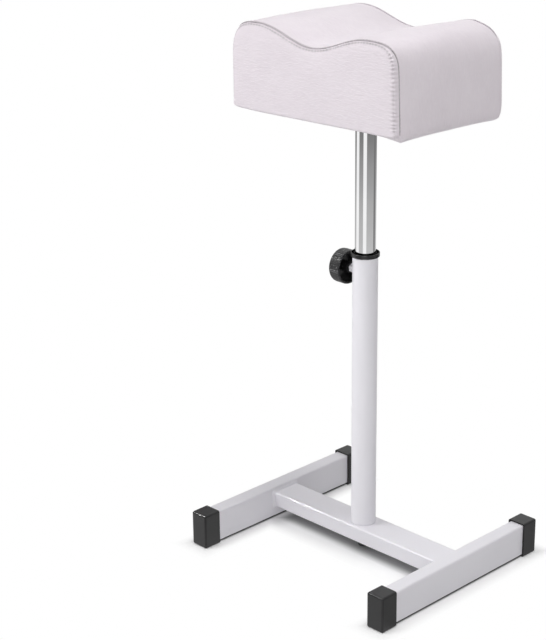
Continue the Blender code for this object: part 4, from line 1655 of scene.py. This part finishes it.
    def mark(self, cover: Piece, rows: list) -> None:
        """Mark the seams and what they and the board hold still.

        Args:
            cover: the form.
            rows: places across the cushion.
        """
        held = cover.vertex_groups.new(name="held")
        seam = cover.vertex_groups.new(name="seam")
        last_sewn = 2 * self.side_cells + self.top_cells
        for row, (across, angle) in enumerate(rows):
            for i in range(self.loop_cells):
                index = row * self.loop_cells + i
                at_seam = abs(across) == 1.0 and angle == 0.0
                if at_seam and i <= last_sewn:
                    seam.add([index], 1.0, "REPLACE")
                if at_seam or i >= last_sewn or i == 0:
                    held.add([index], 1.0, "REPLACE")
                elif angle:
                    held.add([index], self.roll_hold, "REPLACE")

    def swell(self, cover: Piece) -> None:
        """Swell the cover with a cloth simulation, held at its seams, and cap the move.

        Args:
            cover: the form.
        """
        rest = [point.co.copy() for point in cover.data.vertices]
        modifier = cover.modifiers.new("swell", "CLOTH")
        for key, value in CLOTH.items():
            setattr(modifier.settings, key, value)
        modifier.settings.uniform_pressure_force = self.pressure
        modifier.settings.effector_weights.gravity = 0.0
        modifier.point_cache.frame_start = 1
        modifier.point_cache.frame_end = self.swell_frames
        scene = bpy.context.scene
        for number in range(1, self.swell_frames + 1):
            scene.frame_set(number)
        graph = bpy.context.evaluated_depsgraph_get()
        swelled = [point.co.copy() for point in cover.evaluated_get(graph).data.vertices]
        cover.modifiers.remove(modifier)
        scene.frame_set(1)
        furthest = 0.0
        for point, start, end in zip(cover.data.vertices, rest, swelled):
            move = end - start
            furthest = max(furthest, move.length)
            if move.length > self.swell_limit:
                move = move.normalized() * self.swell_limit
            point.co = start + move
        log.info("cover swelled by up to %.1f mm before the cap", furthest * 1000.0)

    def sew(self, cover: Piece) -> None:
        """Round the seams into a fine band, draw them in, and paint their dark joint and shade into an
        attribute.

        Args:
            cover: the subdivided form.
        """
        group = cover.vertex_groups["seam"].index
        sewn = set()
        for point in cover.data.vertices:
            if any(item.group == group and item.weight > self.sewn_weight for item in point.groups):
                sewn.add(point.index)
        lines = self.seam_lines(cover, sewn)
        with editing(cover):
            bevel_edges(
                cover, lambda edge: all(point.index in sewn for point in edge.verts), self.seam_band, steps=4
            )
        tree = kdtree.KDTree(len(lines))
        for i, (place, _, _) in enumerate(lines):
            tree.insert(place, i)
        tree.balance()
        with editing(cover):
            pick_faces(cover, lambda face: self.near_seam(face, tree))
            bpy.ops.mesh.subdivide(number_cuts=1, smoothness=0.0)
        normals = [point.normal.copy() for point in cover.data.vertices]
        # The attribute paints the seam's dark joint together with the shade in its groove and fold.
        shade = cover.data.attributes.new("seam_joint_and_painted_shade", "FLOAT", "POINT")
        for point, normal in zip(cover.data.vertices, normals):
            _, i, near = tree.find(point.co)
            if near <= self.pucker_far * self.pucker_reach:
                rise, shade.data[point.index].value = self.sewn_in(point.co, *lines[i])
                point.co += normal * rise

    def sewn_in(self, spot: Vector, place: Vector, along: Vector, length: float) -> Pair:
        """Work out how the sewing moves a spot beside a seam, and how dark the seam's joint and its painted
        shade make it.

        Args:
            spot: place of the spot.
            place: nearest place on the seam.
            along: direction of the seam there.
            length: length walked along the seam to there.

        Returns:
            How far the spot rises out of the cover, and its darkness from the joint and the painted shade.
        """
        slip = (spot - place).dot(along)
        away = (spot - place - along * slip).length
        walked = length + slip
        upright = along.z * along.z
        width = between(self.seam_width, self.upright_width, upright)
        shown = clamped((place.z - self.bottom - self.bottom_radius) / self.seam_fade)
        line = bell(away, width) * between(1.0, self.upright_line, upright) * shown
        seed = math.copysign(self.wander_seed, place.y)
        wander = noise.noise(Vector((walked * self.wander_scale, seed, 0.0)))
        wave = math.sin(math.tau * walked / self.pucker_pitch + self.wander_turn * wander)
        if abs(spot.y) > abs(place.y) + self.panel_start:
            rolled = math.hypot(self.width / 2.0 - abs(place.y), self.roll_inset)
            beside = away - self.stitch_place * rolled
            steady, by_wave, by_wander = self.stitch_uneven
            stitch = bell(beside, self.stitch_width) * (steady + by_wave * wave + by_wander * wander) * shown
            pucker = between(self.level_pucker, 1.0, upright) * math.exp(-abs(beside) / self.pucker_reach)
            lip = 0.0
            # The band beside the seam gets a light painted shade.
            band = self.band_painted_shade if beside < 0.0 else 0.0
        else:
            stitch = band = 0.0
            pucker = self.strip_share * math.exp(-away / self.pucker_reach)
            lip = self.seam_lip * math.exp(-away / self.lip_reach) * (1.0 - line)
        pucker *= self.pucker_height * (self.pucker_bias + wander) * wave
        pucker *= 1.0 if place.x > 0.0 > place.y else self.loose_pucker
        rise = pucker + lip - self.seam_depth * line - self.stitch_depth * stitch
        dark = max(line, self.stitch_painted_shade * between(1.0, self.upright_stitch, upright) * stitch, band)
        return rise, dark * (self.rear_painted_shade_share if place.y > 0.0 else 1.0)

    def near_seam(self, face: Face, tree: kdtree.KDTree) -> bool:
        """Say whether a face lies where the sewing shows: beside the seam or on the rolled edge.

        Args:
            face: a face of the cover.
            tree: places along the seams.

        Returns:
            True for a face to divide.
        """
        middle = face.calc_center_median()
        place, _, near = tree.find(middle)
        if abs(middle.y) < abs(place.y):
            return near < self.strip_spread * self.seam_band
        return near < self.roll_spread * (self.width / 2.0 - abs(place.y))

    def seam_lines(self, cover: Piece, sewn: set[int]) -> list[tuple]:
        """Follow each seam from its left end.

        Args:
            cover: the subdivided form.
            sewn: numbers of the points on the seams.

        Returns:
            Place, direction and length walked for each point of the seams.
        """
        lines = []
        for side in (-1, 1):
            places = [cover.data.vertices[i].co.copy() for i in sewn]
            places = [place for place in places if place.y * side > 0.0]
            start = min(places, key=lambda place: (place.z > self.bottom + self.bottom_radius, place.x))
            ordered = [start]
            left = [place for place in places if place is not start]
            while left:
                nearest = min(left, key=lambda place: (place - ordered[-1]).length_squared)
                left.remove(nearest)
                ordered.append(nearest)
            walked = 0.0
            for i, place in enumerate(ordered):
                before = ordered[max(i - 1, 0)]
                after = ordered[min(i + 1, len(ordered) - 1)]
                walked += (place - before).length
                lines.append((place, (after - before).normalized(), walked))
        return lines

    def tuck_under(self, cover: Piece) -> None:
        """Round, hang and lean the cover a little, and sink the board's place between the flaps.

        Args:
            cover: the sewn cover.
        """
        for point in cover.data.vertices:
            self.round_corners(point)
            point.co.z -= self.drop(point.co)
        self.settle(cover)
        with editing(cover):
            pick_faces(cover, self.under_board)
            bpy.ops.mesh.inset(thickness=self.flap_slope, depth=-self.flap_thickness)

    def drop(self, place: Vector) -> float:
        """How far the cover hangs at a place: down at the ends, drawn up along the front panel.

        Args:
            place: place on the cover.

        Returns:
            The drop, below 0 where the cover is drawn up.
        """
        left_front, left_rear, right_front, right_rear = self.hang
        across = clamped(0.5 + place.y / (2.0 * self.seam_y))
        if place.x > 0.0:
            drop = between(right_front, right_rear, across) + self.corner_hang * (2.0 * across - 1.0) ** 4
        else:
            drop = between(left_front, left_rear, across)
        away = math.hypot(self.half_length - abs(place.x), place.z - self.bottom)
        drop *= bell(away, self.hang_reach)
        if place.y > 0.0:
            return drop * min(1.0, max(self.least_hang, (self.width / 2.0 - place.y) / self.roll_inset))
        on_strip = clamped((self.width / 2.0 - self.roll_end + place.y) / self.strip_edge)
        lift = between(*self.panel_lift, clamped(0.5 + place.x / self.hump_spacing))
        lift *= bell(place.z - self.bottom, self.hang_reach)
        if place.x > 0.0:
            lift += self.corner_lift * bell(self.corner_focus * away, self.hang_reach)
        return drop * on_strip - lift * (1.0 - on_strip)

    def settle(self, cover: Piece) -> None:
        """Let the ends lean and the whole cover turn a little, as it was pulled over the board.

        Args:
            cover: the sewn cover.
        """
        foot, slope = self.lean
        turn = math.radians(self.twist)
        for point in cover.data.vertices:
            place = point.co
            share = clamped((abs(place.x) / self.half_length - self.lean_from) / (1.0 - self.lean_from))
            if place.x > 0.0:
                place.x += share * (foot + slope * min(place.z - self.bottom, self.lean_top))
            else:
                place.x -= share * self.left_reach
            place.z += self.tilted(place)
            place.y += self.forward
            x, y = place.x, place.y
            place.x = x * math.cos(turn) - y * math.sin(turn)
            place.y = x * math.sin(turn) + y * math.cos(turn)

    def tilted(self, place: Vector) -> float:
        """How far the top rises at a place: up to the right, down at the far right shoulder.

        Args:
            place: place on the cover.

        Returns:
            The rise, below 0 where it sags.
        """
        raised = clamped((place.z - self.bottom) / self.lean_top)
        aside = clamped((place.x - self.hump_spacing / 2.0) / self.shoulder_width)
        high = clamped((place.z - self.bottom - self.side_height) / self.shoulder_drop)
        sag = self.rear_sag * max(0.0, place.y / self.seam_y) * aside * high
        along, across = self.top_tilt
        return (along * (place.x - self.tilt_from) + across * place.y) * raised - sag

    def round_corners(self, point: bpy.types.MeshVertex) -> None:
        """Draw in the two bottom corners where the cover is pulled tight under the board.

        Args:
            point: a point of the cover, which moves.
        """
        low = self.bottom
        place = point.co
        if place.y > 0.0:
            reach, rise = self.rear_round
            share = 1.0 - (self.half_length - place.x) / (self.round_fade * reach)
            aside, up = self.drawn((place.y - self.width / 2.0) / reach, (place.z - low) / rise, share)
            place.y -= reach * aside
        else:
            reach, rise = self.front_round
            share = 1.0 - (self.width / 2.0 + place.y) / (self.round_fade * reach)
            aside, up = self.drawn((-place.x - self.half_length) / reach, (place.z - low) / rise, share)
            place.x += reach * aside
        place.z += rise * up

    @staticmethod
    def drawn(aside: float, up: float, share: float) -> Pair:
        """Turn a square corner into a round one.

        Args:
            aside: place across the corner, -1 at its start and 0 at its end, in reaches.
            up: place above the corner, 0 at its foot and 1 at its start, in rises.
            share: 0 to leave the place and 1 to move it in full.

        Returns:
            How far to move inwards and upwards, in reaches and rises.
        """
        across = min(1.0, aside + 1.0)
        down = min(1.0, 1.0 - up)
        if min(across, down, share) <= 0.0:
            return 0.0, 0.0
        share = min(share, 1.0)
        inwards = share * across * (1.0 - math.sqrt(1.0 - down * down / 2.0))
        upwards = share * down * (1.0 - math.sqrt(1.0 - across * across / 2.0))
        return inwards, upwards

    def under_board(self, face: Face) -> bool:
        """Say whether a face of the underside lies inside the flaps.

        Args:
            face: a face of the cover.

        Returns:
            True for a face to sink.
        """
        middle = face.calc_center_median()
        if middle.z >= self.bottom + self.flap_margin:
            return False
        inset = self.flap + self.flap_margin
        reach_x = self.half_length - self.bottom_radius - inset
        return abs(middle.x) < reach_x and abs(middle.y) < self.seam_y - inset


@dataclass
class SeatBoard:
    """Plywood board in the foot of the cushion, its lower edge rounded over under the cover."""

    corner: float = 0.012
    lower_edge: float = 0.010
    nut_gap: float = 0.0004

    def build(self, palette: Palette) -> None:
        """Make and dress the board, with a hole for each tee nut.

        Args:
            palette: finishes of the rest.
        """
        box = Box.of("seat_board")
        board = add_block("board_core", box.low, box.high)
        with editing(board):
            bevel_edges(board, lambda edge: edge_runs(edge, Axis.Z), self.corner)
            bevel_edges(board, lambda edge: edge_at(edge, Axis.Z, box.low.z), self.lower_edge, steps=4)
        drill(board, "tee_nut", Box.of("tee_nut_1").size.x / 2.0 + self.nut_gap, box)
        dress(board, palette.plywood, "plywood", Body.MAST, "seat_board")


@dataclass
class Underside:
    """Black cloth under the board and the staples that hold the cover's flaps."""

    cells_x: int = 61
    cells_y: int = 39
    ripple: float = 0.00015
    ripple_scale: float = 45.0
    staple_length: float = 0.010
    staple_width: float = 0.0012
    staple_height: float = 0.0006
    staple_edge: float = 0.35
    staple_sink: float = 0.3
    staple_spacing: float = 0.024
    staple_out: float = 0.009
    staple_steps: tuple[int, int] = (4, 2)
    staple_slant: float = math.radians(6.0)
    slant_change: float = 5.0
    hole_radius: float = 0.0034

    def build(self, palette: Palette) -> None:
        """Make and dress the cloth and the staples.

        Args:
            palette: finishes of the rest.
        """
        box = Box.of("bottom_cloth")
        bpy.ops.object.select_all(action="DESELECT")
        bpy.ops.mesh.primitive_grid_add(x_subdivisions=self.cells_x, y_subdivisions=self.cells_y, size=1.0)
        cloth = bpy.context.object
        cloth.scale = (box.size.x, box.size.y, 1.0)
        cloth.location = (0.0, 0.0, box.low.z + self.ripple)
        settled(cloth, "under_cloth")
        for point in cloth.data.vertices:
            point.co.z += self.ripple * noise.noise(point.co * self.ripple_scale)
        use_modifier(cloth, "SOLIDIFY", thickness=box.size.z - 2.0 * self.ripple, offset=1.0)
        drill(cloth, "plate_screw", self.hole_radius, box)
        dress(cloth, palette.fibre_cloth, "black_cloth", Body.MAST, "bottom_cloth")
        self.staples(palette, box)

    def staples(self, palette: Palette, box: Box) -> None:
        """Drive a row of staples through the flaps along each side of the cloth.

        Args:
            palette: finishes of the rest.
            box: box of the cloth.
        """
        level = Box.of("cover_strip").low.z - self.staple_height * self.staple_sink
        long, short = self.staple_steps
        out_x, out_y = box.high.x + self.staple_out, box.high.y + self.staple_out
        rows = []
        for side in (-1, 1):
            for step in range(-long, long + 1):
                rows.append((step * self.staple_spacing, side * out_y, 0.0))
            for step in range(-short, short + 1):
                rows.append((side * out_x, step * self.staple_spacing, math.radians(90.0)))
        spots = []
        for number, (x, y, turn) in enumerate(rows):
            turn += self.staple_slant * math.sin(self.slant_change * number)
            spots.append((Vector((x, y, level)), turn))
        half = Vector((self.staple_length, self.staple_width, self.staple_height)) / 2.0
        first = add_block("staple", -half, half)
        round_edges(first, self.staple_height * self.staple_edge, steps=2)
        dress(joined_copies(first, "flap_staples", spots), palette.zinc, "zinc_steel", Body.MAST)


# Surroundings


@dataclass(frozen=True)
class Viewpoint:
    """Camera at the photograph's viewing angle."""

    place: Triple = (1.665, -1.7975, 1.2745)
    azimuth: float = 44.01
    elevation: float = 20.14
    lens: float = 99.03
    sensor: float = 36.0
    shift_x: float = -0.0893

    def build(self) -> None:
        """Add the camera and make it the scene's own."""
        data = bpy.data.cameras.new("viewpoint")
        data.lens = self.lens
        data.sensor_width = self.sensor
        data.shift_x = self.shift_x
        camera = bpy.data.objects.new("viewpoint", data)
        camera.location = self.place
        camera.rotation_euler = (math.radians(90.0 - self.elevation), 0.0, math.radians(self.azimuth))
        bpy.context.scene.collection.objects.link(camera)
        bpy.context.scene.camera = camera


@dataclass(frozen=True)
class Lamp:
    """One soft rectangular lamp."""

    name: str
    place: Triple
    target: Triple
    size: Pair
    power: float
    mirrored: bool = True
    scattered: bool = True
    beam: float = 180.0

    def build(self) -> None:
        """Add the lamp, aimed at its target and out of sight."""
        data = bpy.data.lights.new(self.name, "AREA")
        data.shape = "RECTANGLE"
        data.size, data.size_y = self.size
        data.energy = self.power
        data.spread = math.radians(self.beam)
        lamp = bpy.data.objects.new(self.name, data)
        lamp.location = self.place
        lamp.rotation_euler = (Vector(self.target) - Vector(self.place)).to_track_quat("-Z", "Y").to_euler()
        bpy.context.scene.collection.objects.link(lamp)
        lamp.visible_camera = False
        lamp.visible_glossy = self.mirrored
        lamp.visible_diffuse = self.scattered


LAMPS = (
    Lamp("high_softbox", (2.0, -0.1, 8.0), (0.0, 0.0, 0.4), (2.0, 2.0), 118.0),
    Lamp("top_softbox", (0.45, 0.0, 2.0), (0.0, 0.0, 0.8), (1.0, 1.0), 5.3),
    Lamp("front_softbox", (-1.30, -1.90, 2.25), (0.0, 0.0, 0.7), (1.2, 0.95), 37.0),
    Lamp("side_softbox", (2.1, -2.4, 2.0), (0.0, 0.0, 0.5), (1.6, 1.6), 28.0),
    Lamp("right_softbox", (1.5, 0.15, 1.0), (0.0, 0.0, 0.9), (0.6, 0.6), 1.0, mirrored=False),
    Lamp("rear_softbox", (-0.5, 2.8, 0.6), (0.0, 0.0, 0.5), (1.2, 1.0), 14.0, mirrored=False),
    Lamp("left_softbox", (-3.0, -0.9, 0.4), (0.0, 0.0, 0.4), (1.2, 1.2), 16.0, mirrored=False),
    Lamp(
        "post_fill", (1.4, -1.5, 0.5), (0.0, 0.0, 0.43), (0.5, 0.5), 0.06, mirrored=False, beam=14.0
    ),
    Lamp(
        "bar_highlight", (-2.23, -1.43, 2.08), (-0.12, -0.02, 0.05), (0.4, 0.4), 0.55,
        scattered=False, beam=9.0,
    ),
)


@dataclass(frozen=True)
class Studio:
    """White floor and background, soft lamps, and the grey room that metal mirrors."""

    sky_level: float = 0.12
    sky_rise: float = 0.12
    floor_side: float = 40.0
    floor_bounce: float = 0.85
    floor_seen: float = 1.00
    # Painted contact shadow: level, start and end of the darkening of the floor's colour under the crossbar
    # and under the runners.
    bar_painted_shadow: Triple = (0.32, -0.019, 0.001)
    runner_painted_shadow: Triple = (0.05, -0.005, 0.001)
    runner_white: float = 0.008
    white_from: float = 0.004
    white_to: float = 0.037
    room_radius: float = 3.4
    room_height: float = 2.6
    room_sides: int = 96
    room_lift: float = 0.001
    ground_top: float = 0.01
    wall_level: float = 0.20
    wall_bright: float = 1.0
    wall_rise: Pair = (1.6, 2.3)
    near_grey: float = 0.62
    far_grey: float = 0.20
    grey_from: float = 1.35
    grey_to: float = 2.70
    window_edge: float = 0.03
    floor_windows: tuple[Pair, ...] = ((-164.0, -123.0), (-74.0, -37.0))
    dark_windows: tuple[Pair, ...] = ((48.0, 76.0),)
    dark_grey: float = 0.20
    wall_windows: tuple[Pair, ...] = (
        (-164.0, -130.0), (-74.0, -44.0), (-8.0, 14.0), (52.0, 84.0), (112.0, 136.0),
    )

    def build(self) -> None:
        """Set the view, the world, the floor, the room and the lamps."""
        bpy.context.scene.view_settings.view_transform = "Standard"
        self.world()
        self.floor()
        self.room()
        for lamp in LAMPS:
            lamp.build()

    def world(self) -> None:
        """Light that falls mostly from above, with a plain white background for the eye and for metal."""
        world = bpy.data.worlds.new("soft_room")
        bpy.context.scene.world = world
        world.use_nodes = True
        graph = Graph(world.node_tree)
        way = graph.add("SeparateXYZ", {0: graph.add("TexCoord").outputs["Generated"]}).outputs["Z"]
        soft = graph.span(way, 0.0, 1.0, self.sky_level, self.sky_level + self.sky_rise)
        strength = graph.blend(self.seen_or_mirrored(graph), soft, 1.0)
        graph.feed(graph.tree.nodes["Background"], {"Color": (1.0, 1.0, 1.0, 1.0), "Strength": strength})

    @staticmethod
    def seen_or_mirrored(graph: Graph) -> Socket:
        """Mask of the rays that come from the camera, a reflection or through glass.

        Args:
            graph: graph that the nodes go into.

        Returns:
            Socket with the mask.
        """
        path = graph.add("LightPath").outputs
        glossy = graph.math("MAXIMUM", path["Is Camera Ray"], path["Is Glossy Ray"])
        return graph.math("MAXIMUM", glossy, path["Is Transmission Ray"])

    def floor(self) -> None:
        """Pale floor with a painted shadow along the base, white further off, and clear to the camera from
        below.
        """
        bpy.ops.object.select_all(action="DESELECT")
        bpy.ops.mesh.primitive_plane_add(size=self.floor_side)
        floor = settled(bpy.context.object, "floor")
        made, graph, unused = start_material("pale_floor")
        graph.tree.nodes.remove(unused)
        seen = self.seen_or_mirrored(graph)
        bar = self.reach_from(graph, "crossbar")
        runners = self.reach_from(graph, "left_runner", "right_runner")
        # Painted shadow: the floor's colour darkens under and beside the tubes of the base, on top of the
        # shadow that the lamps cast.
        under = []
        for reach, (level, start, end) in ((bar, self.bar_painted_shadow), (runners, self.runner_painted_shadow)):
            under.append(graph.span(reach, start, end, level, self.floor_seen, smooth=True))
        grey = graph.blend(seen, self.floor_bounce, graph.math("MINIMUM", *under))
        matt = graph.add("BsdfDiffuse", {"Color": grey}).outputs["BSDF"]
        glow = graph.add("Emission", {"Strength": seen}).outputs["Emission"]
        nearest = graph.math("MINIMUM", bar, graph.math("ADD", runners, self.runner_white))
        far = graph.span(nearest, self.white_from, self.white_to, smooth=True)
        share = graph.math("MULTIPLY", far, seen)
        both = graph.add("MixShader", {0: share, 1: matt, 2: glow}).outputs["Shader"]
        under_side = graph.add("NewGeometry").outputs["Backfacing"]
        below = graph.math("MULTIPLY", under_side, graph.add("LightPath").outputs["Is Camera Ray"])
        clear = graph.add("BsdfTransparent").outputs["BSDF"]
        one_sided = graph.add("MixShader", {0: below, 1: both, 2: clear}).outputs["Shader"]
        graph.feed(graph.tree.nodes["Material Output"], {"Surface": one_sided})
        floor.data.materials.append(made)

    @staticmethod
    def reach_from(graph: Graph, *nodes: str) -> Socket:
        """Distance on the floor from the outline of tubes of the base, which never moves.

        Args:
            graph: graph of the floor's material.
            nodes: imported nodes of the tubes.

        Returns:
            Socket with the distance, negative under a tube.
        """
        place = graph.add("SeparateXYZ", {0: graph.place()}).outputs
        nearest = None
        for node in nodes:
            box = Box.of(node)
            sides = []
            for axis in (Axis.X, Axis.Y):
                off = graph.math("SUBTRACT", place[axis.value], box.middle[axis.value])
                sides.append(graph.math("SUBTRACT", graph.math("ABSOLUTE", off), box.size[axis.value] / 2.0))
            reach = graph.math("MAXIMUM", *sides)
            nearest = reach if nearest is None else graph.math("MINIMUM", nearest, reach)
        return nearest

    def room(self) -> None:
        """Grey surround with bright windows, which only reflections see."""
        wall = add_drum("room", self.room_radius, self.room_lift, self.room_height, self.room_sides)
        with editing(wall):
            open_faces(wall, lambda face: face.normal.z > FACING)
        made, graph, unused = start_material("grey_room")
        graph.tree.nodes.remove(unused)
        place = graph.add("SeparateXYZ", {0: graph.place()}).outputs
        turn = graph.math("ARCTAN2", place["Y"], place["X"])
        flat = graph.add("CombineXYZ", {0: place["X"], 1: place["Y"]}).outputs[0]
        reach = graph.add("VectorMath", {0: flat}, operation="LENGTH").outputs["Value"]
        grey = graph.span(reach, self.grey_from, self.grey_to, self.near_grey, self.far_grey)
        grey = graph.blend(self.inside(graph, turn, self.dark_windows), grey, self.dark_grey)
        ground = graph.blend(self.inside(graph, turn, self.floor_windows), grey, 1.0)
        plain = graph.span(place["Z"], *self.wall_rise, self.wall_level, self.wall_bright)
        wall_grey = graph.blend(self.inside(graph, turn, self.wall_windows), plain, 1.0)
        risen = graph.math("GREATER_THAN", place["Z"], self.ground_top)
        level = graph.blend(risen, ground, wall_grey)
        glow = graph.add("Emission", {"Strength": level}).outputs["Emission"]
        graph.feed(graph.tree.nodes["Material Output"], {"Surface": glow})
        wall.data.materials.append(made)
        for ray in ("camera", "diffuse", "shadow", "transmission"):
            setattr(wall, f"visible_{ray}", False)

    def inside(self, graph: Graph, turn: Socket, windows: tuple[Pair, ...]) -> Socket:
        """Mask of the directions round the room that lie in a window.

        Args:
            graph: graph of the room's material.
            turn: socket with the direction in radians.
            windows: start and end of each window in degrees.

        Returns:
            Socket with the mask.
        """
        bright = None
        for start, end in windows:
            middle = math.radians((start + end) / 2.0)
            half = math.radians(end - start) / 2.0
            size = graph.math("ABSOLUTE", graph.math("SUBTRACT", turn, middle))
            mask = graph.span(size, half + self.window_edge, half - self.window_edge)
            bright = mask if bright is None else graph.math("MAXIMUM", bright, mask)
        return bright


def dress_inner_nodes(palette: Palette) -> None:
    """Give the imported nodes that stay, all inside the others, a finish of their own.

    Args:
        palette: finishes of the rest.
    """
    finishes = {"guide_bush": palette.nylon, "clamp_pad": palette.nylon}
    for name in ("post_foot_plug", "knob_stud", *(f"tee_nut_{number}" for number in SCREWS)):
        finishes[name] = palette.zinc
    for name, surface in finishes.items():
        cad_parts[name].material_slots[0].material = surface


def main() -> None:
    """Build every sub-assembly and its surroundings."""
    logging.basicConfig(level=logging.INFO, format="%(message)s")
    Viewpoint().build()
    palette = Palette()
    BaseFrame().build(palette)
    Post().build(palette)
    Mast().build(palette)
    ClampKnob().build(palette)
    Cushion().build(palette)
    SeatBoard().build(palette)
    Underside().build(palette)
    dress_inner_nodes(palette)
    Studio().build()


if __name__ == "__main__":
    main()
